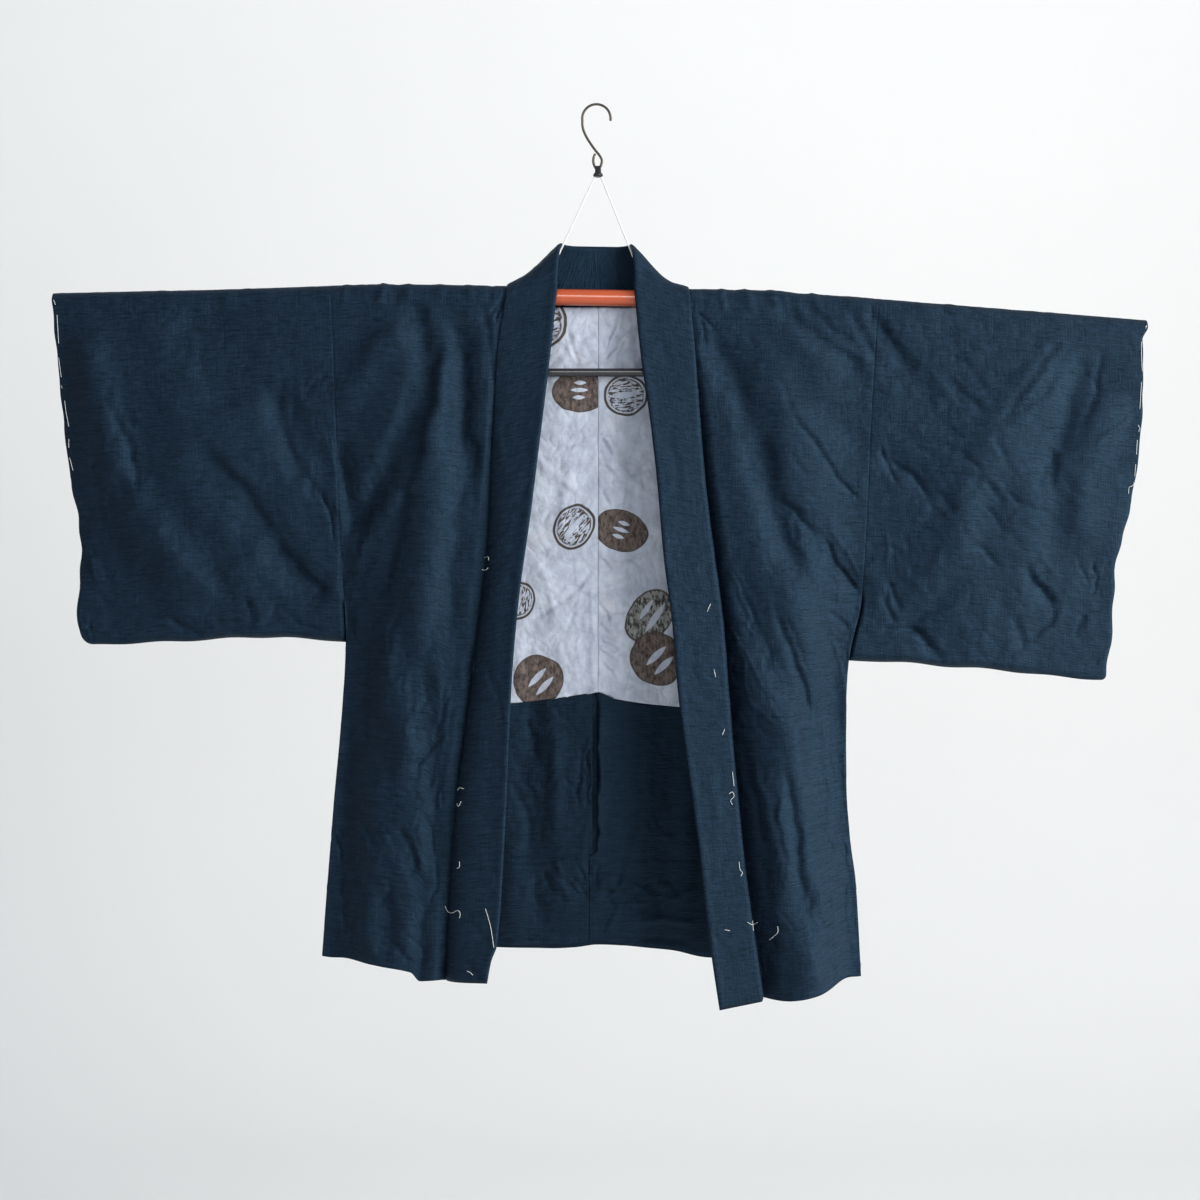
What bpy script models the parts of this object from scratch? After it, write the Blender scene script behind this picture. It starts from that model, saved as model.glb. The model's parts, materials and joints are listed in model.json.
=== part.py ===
"""Lined haori jacket hanging on its kimono hanger, at real size, in metres.

+X is the wearer's left, -Y is the front and +Z is up.  The origin is the inside of
the hook's crown, where the hanger is held.  All named sizes and tables are in
millimetres and are turned into metres where a vertex or a point is placed.
"right" and "left" are the wearer's sides, so "right" is at -X.
"""

import math
from collections import namedtuple

import bmesh
import bpy
from mathutils import Vector

MM = 0.001

# Cloth walls and the gaps that part the pieces at their seams
CLOTH_WALL = 2.0
COLLAR_WALL = 3.0
LINING_WALL = 1.0
SEAM_GAP = 0.4
COLLAR_SEAM_CLEARANCE = 1.0
SIDES = {"right": -1, "left": 1}

# Hanger
TUBE_RADIUS = 9.8
TUBE_CENTRE_Z = -230.8
TUBE_FALL = 0.0157
TUBE_END = {"right": -265.0, "left": 215.0}
ARM_RADIUS = 8.0
ARM_TIP = {"right": (-640.0, -235.5), "left": (645.0, -267.8)}
BAR_RADIUS = 5.0
BAR_Z = -320.4
BAR_HALF_LENGTH = 128.0
BRACKET_WIDTH = 6.0
BRACKET_DEPTH = 12.0
BRACKET_BELOW_BAR = 7.0
SEAT_GAP = 0.3
CORD_END_GAP = 0.6
ARM_GAP = 0.6
CORD_RADIUS = 1.1
CORD_TOP_X = 3.4
CORD_FOOT_X = {"right": -63.0, "left": 52.0}
CLIP_TOP_Z = -72.9
CLIP_PROFILE = (  # height below the clip's top, radius
    (0.0, 3.6), (7.5, 3.9), (10.0, 5.8), (12.0, 5.8), (13.0, 4.8),
)
WIRE_RADIUS = 1.5
CROWN_RADIUS = 17.0
CROWN_STEPS = 13
CROWN_OVERRUN = math.radians(8.0)
HOOK_SHANK = (  # x, z down the wire from the end of the crown's arc to the tip of the eye
    (-18.7, -23.4), (-17.3, -30.0), (-13.5, -38.5), (-8.2, -46.6), (-2.6, -53.8),
    (2.6, -59.4), (4.4, -64.6), (2.2, -69.6), (-1.4, -71.1), (-5.0, -69.0),
    (-6.6, -64.0), (-6.2, -58.6),
)

# The line of the cloth where it lies over the tube and the arms
CREST = (  # x, z of the middle of the wall
    (-660.0, -226.2), (-598.0, -224.6), (-508.0, -222.8), (-448.0, -221.4),
    (-388.0, -219.4), (-328.0, -217.2), (-265.0, -215.2), (0.0, -219.4),
    (215.0, -222.8), (242.0, -226.0), (302.0, -229.8), (362.0, -234.8),
    (482.0, -244.4), (602.0, -253.9), (662.0, -258.8),
)
CREST_DROP = 11.4
FRONT_STAND_OFF = 11.8
BACK_STAND_OFF = 13.0
QUARTER_ARC = 18.0
SETTLE_DROP = 60.0
LEAST_DEPTH = 2.5

# Side edges of the body, shared by the sleeves' armholes and the gussets
SIDE_EDGE = {
    "right": (  # z, x, front y, back y
        (-229.0, -319.5, -11.8, 13.0), (-322.0, -315.0, -14.0, 14.0),
        (-505.0, -308.8, -15.0, 14.0), (-566.0, -305.3, -14.0, 13.0),
        (-644.0, -301.0, -14.0, 12.0), (-736.0, -306.0, -18.0, 15.0),
        (-831.0, -314.0, -23.0, 20.0), (-937.0, -321.5, -29.0, 25.0),
        (-1014.0, -326.5, -34.0, 28.0),
    ),
    "left": (
        (-243.0, 334.9, -11.8, 13.0), (-383.0, 325.8, -14.0, 14.0),
        (-468.0, 322.0, -15.0, 14.0), (-590.0, 315.0, -14.0, 13.0),
        (-664.0, 299.5, -14.0, 12.0), (-713.0, 295.7, -17.0, 14.0),
        (-808.0, 295.1, -22.0, 18.0), (-878.0, 299.4, -25.0, 22.0),
        (-926.0, 305.5, -28.0, 25.0), (-1037.0, 311.3, -34.0, 28.0),
    ),
}
# The seam between the front and the collar, and how far the front panel bows forward
COLLAR_SEAM = {
    "right": (  # z, x, y, crown
        (-229.0, -111.0, -11.8, 2.0), (-292.0, -120.4, -16.0, 5.0),
        (-415.0, -126.0, -24.0, 11.0), (-529.0, -130.3, -32.0, 14.0),
        (-626.0, -140.6, -38.0, 16.0), (-711.0, -151.0, -44.0, 16.0),
        (-837.0, -166.8, -52.0, 15.0), (-925.0, -172.3, -58.0, 14.0),
        (-1038.0, -177.7, -64.0, 14.0),
    ),
    "left": (
        (-233.0, 111.0, -11.8, 2.0), (-292.0, 115.7, -16.0, 6.0),
        (-445.0, 127.1, -26.0, 12.0), (-517.0, 135.1, -31.0, 14.0),
        (-626.0, 148.9, -38.0, 16.0), (-717.0, 155.6, -44.0, 16.0),
        (-824.0, 164.6, -51.0, 16.0), (-913.0, 173.6, -57.0, 15.0),
        (-996.0, 185.0, -62.0, 14.0), (-1061.0, 194.0, -66.0, 14.0),
    ),
}
# The collar's free edge down the front
FREE_EDGE = {
    "right": (  # z, x, y
        (-211.0, -47.5, -15.5), (-284.0, -54.7, -21.0), (-404.0, -68.6, -35.0),
        (-499.0, -80.1, -46.0), (-593.0, -92.7, -55.0), (-687.0, -100.6, -62.0),
        (-842.0, -107.0, -75.0), (-994.0, -117.0, -85.0), (-1012.0, -123.5, -86.5),
        (-1038.0, -128.4, -88.0),
    ),
    "left": (
        (-211.0, 42.0, -15.5), (-296.0, 50.0, -22.0), (-380.0, 61.6, -32.0),
        (-452.0, 69.7, -40.0), (-546.0, 77.6, -51.0), (-617.0, 86.8, -57.0),
        (-699.0, 93.5, -63.0), (-874.0, 116.4, -77.0), (-1009.0, 132.2, -86.0),
        (-1070.0, 141.2, -90.0),
    ),
}
# The neck: the seam over the tube and down behind it, and the collar's standing edge
NECK = (  # distance over the crest, seam x, edge x, edge y, edge above the crest, clearance, sag
    (-18.0, 111.0, 46.0, -15.5, 8.0, 1.0, 0.0), (-10.0, 110.0, 44.5, -13.0, 30.0, 1.1, 0.5),
    (-4.0, 109.4, 42.5, -8.5, 46.0, 1.3, 0.9), (0.0, 109.0, 41.0, -1.0, 52.5, 1.4, 1.0),
    (5.0, 108.0, 40.0, 6.0, 54.0, 1.2, 1.0), (10.0, 105.5, 39.0, 10.5, 54.0, 0.9, 0.7),
    (14.0, 99.5, 36.5, 12.5, 53.5, 0.7, 0.3), (18.0, 87.0, 32.0, 13.5, 53.0, 0.5, 0.0),
    (21.0, 68.0, 25.0, 14.0, 52.5, 0.4, 0.0), (24.0, 40.0, 15.0, 14.0, 52.5, 0.4, 0.0),
    (26.5, 0.0, 0.0, 14.0, 52.5, 0.4, 0.0),
)
SHOULDER_SAG = {"right": 5.0, "left": 10.0}
SAG_LEAN = 0.8
NECK_EDGE_X_SHIFT = -2.5
NECK_DROP = NECK[-1][0] - QUARTER_ARC

# Hems and the centre of the back
FRONT_HEM = {
    "right": (  # x, z
        (-326.5, -1013.6), (-262.0, -1020.5), (-219.0, -1028.0), (-208.0, -1038.5),
        (-177.7, -1038.5),
    ),
    "left": (
        (194.0, -1060.7), (207.0, -1061.0), (236.0, -1061.0), (273.0, -1050.5),
        (298.0, -1040.0), (311.3, -1036.0),
    ),
}
BACK_HEM = (  # x, z
    (-326.5, -1014.0), (-118.0, -1015.0), (-58.0, -1015.0), (-28.0, -1013.5),
    (0.0, -1010.0), (33.0, -1011.5), (63.0, -1015.0), (93.0, -1018.5),
    (132.0, -1028.0), (311.3, -1037.0),
)
CENTRE_BACK = (  # z, y, how far the back panel bows backward beside it
    (-240.0, 13.0, 0.0), (-420.0, 14.0, 3.0), (-640.0, 16.0, 5.0), (-1015.0, 20.0, 7.0),
)

# Sleeves, from the armhole out to the cuff
CUFF_EDGE = {
    "right": (  # z, x, front y, back y
        (-237.0, -652.6, -11.8, 13.0), (-259.0, -650.2, -13.0, 13.0),
        (-342.0, -644.2, -13.0, 11.0), (-450.0, -633.4, -7.0, 7.0),
        (-498.0, -623.9, -4.0, 5.0), (-534.0, -620.5, -4.0, 4.0),
        (-617.0, -625.1, -4.0, 4.0), (-649.0, -619.0, -4.0, 4.0),
    ),
    "left": (
        (-270.0, 657.0, -11.8, 13.0), (-283.0, 650.5, -13.0, 13.0),
        (-330.0, 650.2, -13.0, 12.0), (-402.0, 646.6, -11.0, 9.0),
        (-474.0, 638.2, -6.0, 7.0), (-522.0, 627.5, -4.0, 5.0),
        (-546.0, 620.3, -4.0, 4.0), (-641.0, 614.3, -4.0, 4.0),
        (-688.0, 607.0, -4.0, 4.0),
    ),
}
SLEEVE_CROWN = (  # share of the way down, front bow, back bow
    (0.0, 0.0, 0.0), (0.12, 4.0, 2.0), (0.35, 9.0, 5.0), (0.6, 12.0, 6.0),
    (0.85, 7.0, 4.0), (1.0, 2.0, 2.0),
)
SLEEVE_HEM = {
    "right": (  # x, z
        (-625.0, -648.0), (-567.0, -645.0), (-477.0, -639.0), (-387.0, -637.8),
        (-327.0, -643.0), (-301.0, -644.0),
    ),
    "left": (
        (301.0, -665.3), (362.0, -667.7), (422.0, -673.7), (482.0, -677.3),
        (542.0, -683.3), (602.0, -687.0), (615.0, -687.8),
    ),
}
SLEEVE_CORNER_X = {"right": (-301.0, -619.0), "left": (301.0, 607.0)}
SLEEVE_MIDDLE_X = 460.0
CUFF_SHUT_BELOW = {"right": -452.0, "left": -480.0}
ARMHOLE_SHUT_BELOW = {"right": -600.0, "left": -592.0}
SHUT_END_INSET = 2.2
SHUT_BLEND = 8.0
SLEEVE_ROUND = 9.0

# Folds: a soft ridge (height above 0) or trough along a line with one bend
Fold = namedtuple("Fold", "x0 z0 x1 z1 x2 z2 spread height")
FRONT_FOLDS = tuple(Fold(*row) for row in (
    # right front, from the shoulder down
    (-226, -245, -270, -305, -315, -375, 30, 6), (-203, -240, -206, -345, -298, -540, 28, -10),
    (-189, -262, -195, -506, -228, -700, 42, 8), (-158, -245, -164, -397, -144, -470, 24, -7),
    (-262, -610, -240, -720, -216, -820, 32, 8), (-192, -760, -190, -900, -217, -1060, 24, -9),
    (-268, -720, -272, -900, -274, -1060, 32, 7), (-202, -880, -196, -960, -194, -1080, 20, 7),
    (-300, -660, -300, -800, -306, -960, 26, -5),
    # left front
    (136, -262, 190, -385, 238, -590, 36, -12), (138, -275, 142, -360, 150, -460, 22, 6),
    (150, -520, 176, -640, 206, -940, 30, -9), (190, -236, 236, -272, 290, -325, 32, 7),
    (216, -318, 262, -362, 330, -425, 26, -6), (216, -470, 262, -520, 330, -612, 28, -9),
    (152, -540, 202, -657, 262, -745, 24, -7), (172, -620, 192, -700, 228, -770, 24, 6),
    (266, -770, 268, -900, 268, -1080, 38, 9), (231, -770, 238, -890, 246, -1010, 24, -8),
    # right sleeve
    (-590, -290, -556, -500, -465, -580, 40, 8), (-612, -262, -604, -470, -540, -585, 38, -9),
    (-498, -330, -486, -430, -476, -520, 90, 8), (-384, -325, -360, -396, -305, -465, 28, -9),
    (-420, -455, -362, -560, -300, -600, 30, -8), (-440, -540, -410, -600, -400, -660, 30, 5),
    # left sleeve
    (566, -262, 476, -390, 380, -630, 36, 9), (606, -262, 574, -415, 532, -590, 42, -12),
    (618, -420, 616, -500, 610, -560, 28, 6), (330, -408, 380, -452, 432, -496, 24, -7),
    (440, -540, 408, -584, 370, -640, 28, -7), (512, -560, 500, -620, 496, -690, 28, 6),
))
BACK_FOLDS = tuple(Fold(*row) for row in (
    # height above 0 is away from the front here too, so it stands out behind
    (-240, -250, -236, -420, -205, -640, 40, 7), (-170, -250, -180, -500, -172, -800, 34, -6),
    (-276, -380, -250, -560, -262, -820, 34, 6), (-70, -560, -84, -760, -66, -1040, 30, 5),
    (-232, -760, -220, -900, -226, -1080, 34, -6), (-140, -820, -132, -920, -136, -1080, 30, 6),
    (232, -262, 222, -450, 190, -640, 40, 8), (160, -262, 172, -500, 160, -820, 34, -6),
    (262, -400, 246, -600, 268, -830, 34, 6), (70, -640, 86, -800, 74, -1050, 30, 5),
    (218, -760, 210, -900, 222, -1080, 32, -6), (128, -820, 136, -930, 132, -1080, 30, 6),
    (-384, -300, -352, -420, -300, -500, 34, -8), (-560, -290, -520, -430, -440, -570, 48, 8),
    (-600, -300, -590, -440, -560, -560, 40, -7), (-420, -420, -372, -540, -310, -600, 32, -6),
    (392, -310, 366, -430, 320, -500, 34, -8), (560, -300, 520, -450, 440, -600, 48, 8),
    (604, -310, 590, -450, 566, -600, 40, -8), (430, -440, 384, -560, 322, -600, 32, -6),
))
FOLD_FADE = 0.22

# The linings inside the back
LINING_TOP_Z = -241.0
LINING_GAP = 0.8
ROW_MARGIN = 6.0
LINING_EDGE = (  # x, z of the lining's lower edge
    (-292.0, -728.0), (-105.0, -717.6), (-12.0, -706.7), (0.0, -704.5),
    (21.7, -712.8), (101.0, -722.4), (292.0, -732.0),
)
FACING_HEM_RISE = 4.0
SLIT = {  # the two edges of the slit and of the seam below it
    "right": ((-903.0, -11.2), (-896.0, -7.0), (-690.0, -6.6)),  # z, x
    "left": ((-903.0, -10.8), (-896.0, -0.8), (-690.0, -0.6)),
}
GUSSET_TUCK = 8.0
GUSSET_OPENING = 120.0
GUSSET_CLEARANCE = 0.7

# Grid divisions
BODY_COLUMNS = 12
FRONT_ROWS = 22
BACK_ROWS = 20
WRAP_ROWS = 4
SLEEVE_COLUMNS = 12
SLEEVE_ROWS = 11
SLEEVE_ROUND_ROWS = 3
COLLAR_COLUMNS = 4
COLLAR_ROWS = 24
GUSSET_COLUMNS = 4

# Colours: base colour, roughness, metallic
OUTER_CLOTH = ((0.026, 0.05, 0.082), 0.58, 0.0)
LINING_CLOTH = ((0.42, 0.47, 0.55), 0.55, 0.0)
ORANGE_PLASTIC = ((0.42, 0.10, 0.045), 0.35, 0.0)
BLACK_PLASTIC = ((0.02, 0.02, 0.022), 0.35, 0.0)
WHITE_CORD = ((0.82, 0.82, 0.80), 0.8, 0.0)
DARK_STEEL = ((0.06, 0.055, 0.05), 0.35, 0.9)


# ---------------------------------------------------------------- small helpers

def mix(start, end, share):
    return start + (end - start) * share


def ease(share):
    share = min(max(share, 0.0), 1.0)
    return share * share * (3.0 - 2.0 * share)


def slope_at(rows, spot, column):
    """Slope of a smooth curve through the rows that never overshoots them."""
    def secant(first):
        rise = rows[first + 1][column] - rows[first][column]
        return rise / (rows[first + 1][0] - rows[first][0])
    if spot == 0:
        return secant(0)
    if spot == len(rows) - 1:
        return secant(spot - 1)
    before, after = secant(spot - 1), secant(spot)
    if before * after <= 0.0:
        return 0.0
    return 2.0 * before * after / (before + after)


def read_table(table, key):
    """The table's later columns at a value of its first column, read smoothly."""
    rows = sorted(table)
    if key <= rows[0][0]:
        return rows[0][1:]
    if key >= rows[-1][0]:
        return rows[-1][1:]
    spot = max(index for index, row in enumerate(rows) if row[0] < key)
    width = rows[spot + 1][0] - rows[spot][0]
    share = (key - rows[spot][0]) / width
    values = []
    for column in range(1, len(rows[0])):
        start, end = rows[spot][column], rows[spot + 1][column]
        leave = slope_at(rows, spot, column) * width
        arrive = slope_at(rows, spot + 1, column) * width
        values.append(
            mix(start, end, ease(share))
            + share * (1.0 - share) * ((1.0 - share) * leave - share * arrive)
        )
    return tuple(values)


def fold_height(folds, x, z):
    """Sum of all the folds at a point of the cloth, seen from the front."""
    total = 0.0
    for fold in folds:
        reach = fold.spread
        if abs(x - fold.x1) > reach + max(abs(fold.x0 - fold.x1), abs(fold.x2 - fold.x1)):
            continue
        upper = math.hypot(fold.x1 - fold.x0, fold.z1 - fold.z0)
        lower = math.hypot(fold.x2 - fold.x1, fold.z2 - fold.z1)
        stretches = (
            (fold.x0, fold.z0, fold.x1, fold.z1, upper, 0.0),
            (fold.x1, fold.z1, fold.x2, fold.z2, lower, upper),
        )
        nearest, travelled = reach, 0.0
        for ax, az, bx, bz, length, before in stretches:
            along = ((x - ax) * (bx - ax) + (z - az) * (bz - az)) / length ** 2
            along = min(max(along, 0.0), 1.0)
            off = math.hypot(x - mix(ax, bx, along), z - mix(az, bz, along))
            if off < nearest:
                nearest, travelled = off, before + along * length
        share = travelled / (upper + lower)
        fade = ease(min(share, 1.0 - share) / FOLD_FADE)
        total += fold.height * fade * (0.5 + 0.5 * math.cos(math.pi * nearest / reach))
    return total


# ---------------------------------------------------------------- where the cloth hangs

def crest_z(x):
    return read_table(CREST, x)[0]


def tube_level(x):
    """Height where the cloth leaves the tube and starts to hang."""
    return crest_z(x) - CREST_DROP


def over_tube(x, arc):
    """The cloth over the tube, at a distance in front of (below 0) or behind the crest."""
    turn = math.radians(90.0 * arc / QUARTER_ARC)
    stand_off = FRONT_STAND_OFF if arc < 0.0 else BACK_STAND_OFF
    return (x, stand_off * math.sin(turn), crest_z(x) - CREST_DROP * (1.0 - math.cos(turn)))


def hang(layer, x, z, depth):
    """A hanging layer's point: it settles from the tube's face to its own depth."""
    settle = ease((tube_level(x) - z) / SETTLE_DROP)
    if layer == "front":
        depth -= fold_height(FRONT_FOLDS, x, z)
        return (x, mix(-FRONT_STAND_OFF, min(depth, -LEAST_DEPTH), settle), z)
    depth += fold_height(BACK_FOLDS, x, z)
    return (x, mix(BACK_STAND_OFF, max(depth, LEAST_DEPTH), settle), z)


def swell(share):
    return math.sin(math.pi * share) ** 2


def side_edge(side, share):
    """The side seam's place at a share of the way from the tube to the hem."""
    table = SIDE_EDGE[side]
    hem_x, hem_z = (FRONT_HEM["right"][0] if side == "right" else FRONT_HEM["left"][-1])
    top_x = table[0][1]
    z = mix(tube_level(top_x), hem_z, share)
    return read_table(table, z) + (z,)


def collar_seam(side, share):
    table = COLLAR_SEAM[side]
    top_x, hem_x = table[0][1], table[-1][1]
    hem_z = read_table(FRONT_HEM[side], hem_x)[0]
    z = mix(tube_level(top_x), hem_z, share)
    return read_table(table, z) + (z,)


def front_point(side, across, share):
    """A front panel, from the side (across 0) to the collar seam (across 1)."""
    sign = SIDES[side]
    side_x, side_y = side_edge(side, share)[:2]
    seam_x, seam_y, crown = collar_seam(side, share)[:3]
    side_x -= sign * SEAM_GAP / 2
    seam_x += sign * SEAM_GAP / 2
    x = mix(side_x, seam_x, across)
    top_x = mix(SIDE_EDGE[side][0][1], COLLAR_SEAM[side][0][1], across)
    hem_x = mix(SIDE_EDGE[side][-1][1], COLLAR_SEAM[side][-1][1], across)
    z = mix(tube_level(top_x), read_table(FRONT_HEM[side], hem_x)[0], share)
    return hang("front", x, z, mix(side_y, seam_y, ease(across)) - crown * swell(across))


def neck_seam_x(arc):
    """The neck seam's distance from the middle, at a distance over the crest."""
    return read_table(NECK, arc)[0]


def wrap_point(side, across, arc):
    """The part of a body panel that lies over the tube."""
    sign = SIDES[side]
    side_x = SIDE_EDGE[side][0][1] - sign * SEAM_GAP / 2
    seam_x = sign * (neck_seam_x(arc) + SEAM_GAP / 2)
    return over_tube(mix(side_x, seam_x, across), arc)


def back_depth(side, x, z):
    side_x, _, side_y = read_table(SIDE_EDGE[side], z)
    across = 1.0 - x / side_x
    centre_y, bow = read_table(CENTRE_BACK, z)
    return mix(side_y, centre_y, ease(across)) + bow * swell(across)


def back_point(side, across, drop):
    """A back panel, from the side (across 0) to the centre back seam (across 1)."""
    sign = SIDES[side]
    share = drop / back_drop(side)
    side_x = side_edge(side, share)[0] - sign * SEAM_GAP / 2
    centre_x = sign * (neck_seam_x(QUARTER_ARC + drop) + SEAM_GAP / 2)
    x = mix(side_x, centre_x, across)
    top_z = tube_level(mix(SIDE_EDGE[side][0][1], 0.0, across))
    low_z = read_table(BACK_HEM, mix(SIDE_EDGE[side][-1][1], 0.0, across))[0]
    z = mix(top_z, low_z, share) if drop > NECK_DROP else tube_level(x) - drop
    return hang("back", x, z, back_depth(side, x, z))


def back_drop(side):
    """How far the back's side edge hangs below the tube's level."""
    hem_z = BACK_HEM[0][1] if side == "right" else BACK_HEM[-1][1]
    return tube_level(SIDE_EDGE[side][0][1]) - hem_z


def front_rows():
    """Row stations of a front panel, from its hem up to the crest."""
    rows = [("front", 1.0 - index / FRONT_ROWS) for index in range(FRONT_ROWS)]
    rows += [("wrap", QUARTER_ARC * (index / WRAP_ROWS - 1.0)) for index in range(WRAP_ROWS)]
    return rows + [("wrap", -SEAM_GAP / 2)]


def back_rows(side):
    """Row stations of a back panel, from the crest down to its hem."""
    rows = [("wrap", SEAM_GAP / 2)]
    rows += [("wrap", row[0]) for row in NECK if 0.0 < row[0] <= QUARTER_ARC]
    rows += [("back", row[0] - QUARTER_ARC) for row in NECK if row[0] > QUARTER_ARC]
    step = (back_drop(side) - NECK_DROP) / BACK_ROWS
    return rows + [("back", NECK_DROP + step * (index + 1)) for index in range(BACK_ROWS)]


def body_point(side, across, row):
    place, value = row
    if place == "front":
        return front_point(side, across, value)
    if place == "wrap":
        return wrap_point(side, across, value)
    return back_point(side, across, value)


def sleeve_point(side, out, share, layer, closing):
    """A sleeve, from the armhole (out 0) to the cuff (out 1), down one of its layers.

    closing runs from 1, where the layers hang apart, to 0 at the sleeve's lower fold.
    """
    sign = SIDES[side]
    side_top_x = SIDE_EDGE[side][0][1]
    cuff_top_x = CUFF_EDGE[side][0][1]
    seam_low_x, cuff_low_x = SLEEVE_CORNER_X[side]
    top_z = tube_level(mix(side_top_x, cuff_top_x, out))
    low_z = read_table(SLEEVE_HEM[side], mix(seam_low_x, cuff_low_x, out))[0]
    z = mix(top_z, low_z, share)
    seam_z = mix(tube_level(side_top_x), read_table(SLEEVE_HEM[side], seam_low_x)[0], share)
    cuff_z = mix(tube_level(cuff_top_x), read_table(SLEEVE_HEM[side], cuff_low_x)[0], share)
    seam_x, seam_front, seam_back = read_table(SIDE_EDGE[side], seam_z)[:3]
    cuff_x, cuff_front, cuff_back = read_table(CUFF_EDGE[side], cuff_z)
    shut = ease((ARMHOLE_SHUT_BELOW[side] + SHUT_BLEND - seam_z) / SHUT_BLEND)
    seam_x += sign * (SEAM_GAP / 2 + SHUT_END_INSET * shut)
    x = mix(seam_x, cuff_x, out)
    front_bow, back_bow = read_table(SLEEVE_CROWN, share)
    front = hang("front", x, z, mix(seam_front, cuff_front, ease(out)) - front_bow * swell(out))
    back = hang("back", x, z, mix(seam_back, cuff_back, ease(out)) + back_bow * swell(out))
    middle = (front[1] + back[1]) / 2
    half = (back[1] - front[1]) / 2 * closing
    return (x, middle - half if layer == "front" else middle + half, z)


# ---------------------------------------------------------------- building pieces

def new_material(name, finish):
    colour, roughness, metallic = finish
    material = bpy.data.materials.new(name)
    material.use_nodes = True
    shader = material.node_tree.nodes["Principled BSDF"]
    shader.inputs["Base Color"].default_value = (*colour, 1.0)
    shader.inputs["Roughness"].default_value = roughness
    shader.inputs["Metallic"].default_value = metallic
    return material


def add_object(name, data, finish):
    piece = bpy.data.objects.new(name, data)
    parts.objects.link(piece)
    data.materials.append(new_material(name + "_finish", finish))
    return piece


def grid_piece(columns, rows, place):
    """A bmesh grid whose vertex at (column, row) goes where place says, in millimetres."""
    mesh = bmesh.new()
    bmesh.ops.create_grid(mesh, x_segments=columns, y_segments=rows, size=0.5)
    lattice = {}
    for vertex in mesh.verts:
        column = round((vertex.co.x + 0.5) * columns)
        row = round((vertex.co.y + 0.5) * rows)
        lattice[column, row] = vertex
        vertex.co = Vector(place(column, row)) * MM
    return mesh, lattice


def cloth_piece(name, mesh, wall, finish):
    """Turns an open cloth surface into a piece with its wall's thickness."""
    bmesh.ops.recalc_face_normals(mesh, faces=mesh.faces)
    data = bpy.data.meshes.new(name)
    mesh.to_mesh(data)
    mesh.free()
    data.shade_smooth()
    piece = add_object(name, data, finish)
    solidify = piece.modifiers.new("Wall", "SOLIDIFY")
    solidify.thickness = wall * MM
    solidify.offset = 0.0
    solidify.use_even_offset = True
    solidify.use_quality_normals = True
    return piece


def body_panels(side):
    """One length of cloth from hem to hem over the tube, parted there into front and back."""
    for name, rows in (("front_" + side, front_rows()), ("back_" + side, back_rows(side))):
        mesh, _ = grid_piece(
            BODY_COLUMNS, len(rows) - 1,
            lambda column, row: body_point(side, column / BODY_COLUMNS, rows[row]),
        )
        cloth_piece(name, mesh, CLOTH_WALL, OUTER_CLOTH)


def sleeve_ring(side):
    """Stations round a sleeve, from the crest down the front and up the back."""
    middle_x = SIDES[side] * SLEEVE_MIDDLE_X
    depth = tube_level(middle_x) - read_table(SLEEVE_HEM[side], middle_x)[0]
    straight = 1.0 - SLEEVE_ROUND / depth
    half = [("wrap", QUARTER_ARC * index / WRAP_ROWS) for index in range(WRAP_ROWS)]
    half += [("hang", straight * index / SLEEVE_ROWS, 1.0) for index in range(SLEEVE_ROWS)]
    for index in range(SLEEVE_ROUND_ROWS):
        turn = math.radians(90.0 * index / SLEEVE_ROUND_ROWS)
        half.append(("hang", mix(straight, 1.0, math.sin(turn)), math.cos(turn)))
    return half + [("hang", 1.0, 0.0)]


def sleeve_place(side, out, station, layer):
    if station[0] == "hang":
        return sleeve_point(side, out, station[1], layer, station[2])
    top_x = mix(SIDE_EDGE[side][0][1] + SIDES[side] * SEAM_GAP / 2, CUFF_EDGE[side][0][1], out)
    return over_tube(top_x, -station[1] if layer == "front" else station[1])


def sleeve(side):
    """A folded rectangle, open at the armhole and at the top of the cuff."""
    half = sleeve_ring(side)
    around = 2 * (len(half) - 1)

    def place(column, row):
        layer = "front" if row <= around // 2 else "back"
        return sleeve_place(side, column / SLEEVE_COLUMNS, half[min(row, around - row)], layer)

    mesh, lattice = grid_piece(SLEEVE_COLUMNS, around, place)
    shut_ends = ((0, ARMHOLE_SHUT_BELOW[side]), (SLEEVE_COLUMNS, CUFF_SHUT_BELOW[side]))
    for column, shut_below in shut_ends:
        for row in range(around // 2):
            if lattice[column, row].co.z > shut_below * MM:
                continue
            corners = (lattice[column, row], lattice[column, row + 1],
                       lattice[column, around - row - 1], lattice[column, around - row])
            mesh.faces.new(dict.fromkeys(corners))
    bmesh.ops.remove_doubles(mesh, verts=mesh.verts, dist=0.00001)
    cloth_piece("sleeve_" + side, mesh, CLOTH_WALL, OUTER_CLOTH)


def collar_front(side):
    """Stations of the collar from the hem up to the tube's level."""
    edge_table = sorted(FREE_EDGE[side])
    for index in range(COLLAR_ROWS):
        share = 1.0 - index / COLLAR_ROWS
        seam_x, seam_y, _, seam_z = collar_seam(side, share)
        edge_z = mix(edge_table[-1][0], edge_table[0][0], share)
        edge_x, edge_y = read_table(edge_table, edge_z)
        seam = hang("front", seam_x, seam_z, seam_y)
        yield Vector(seam), Vector((edge_x, edge_y, edge_z)), COLLAR_SEAM_CLEARANCE, 0.0


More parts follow.
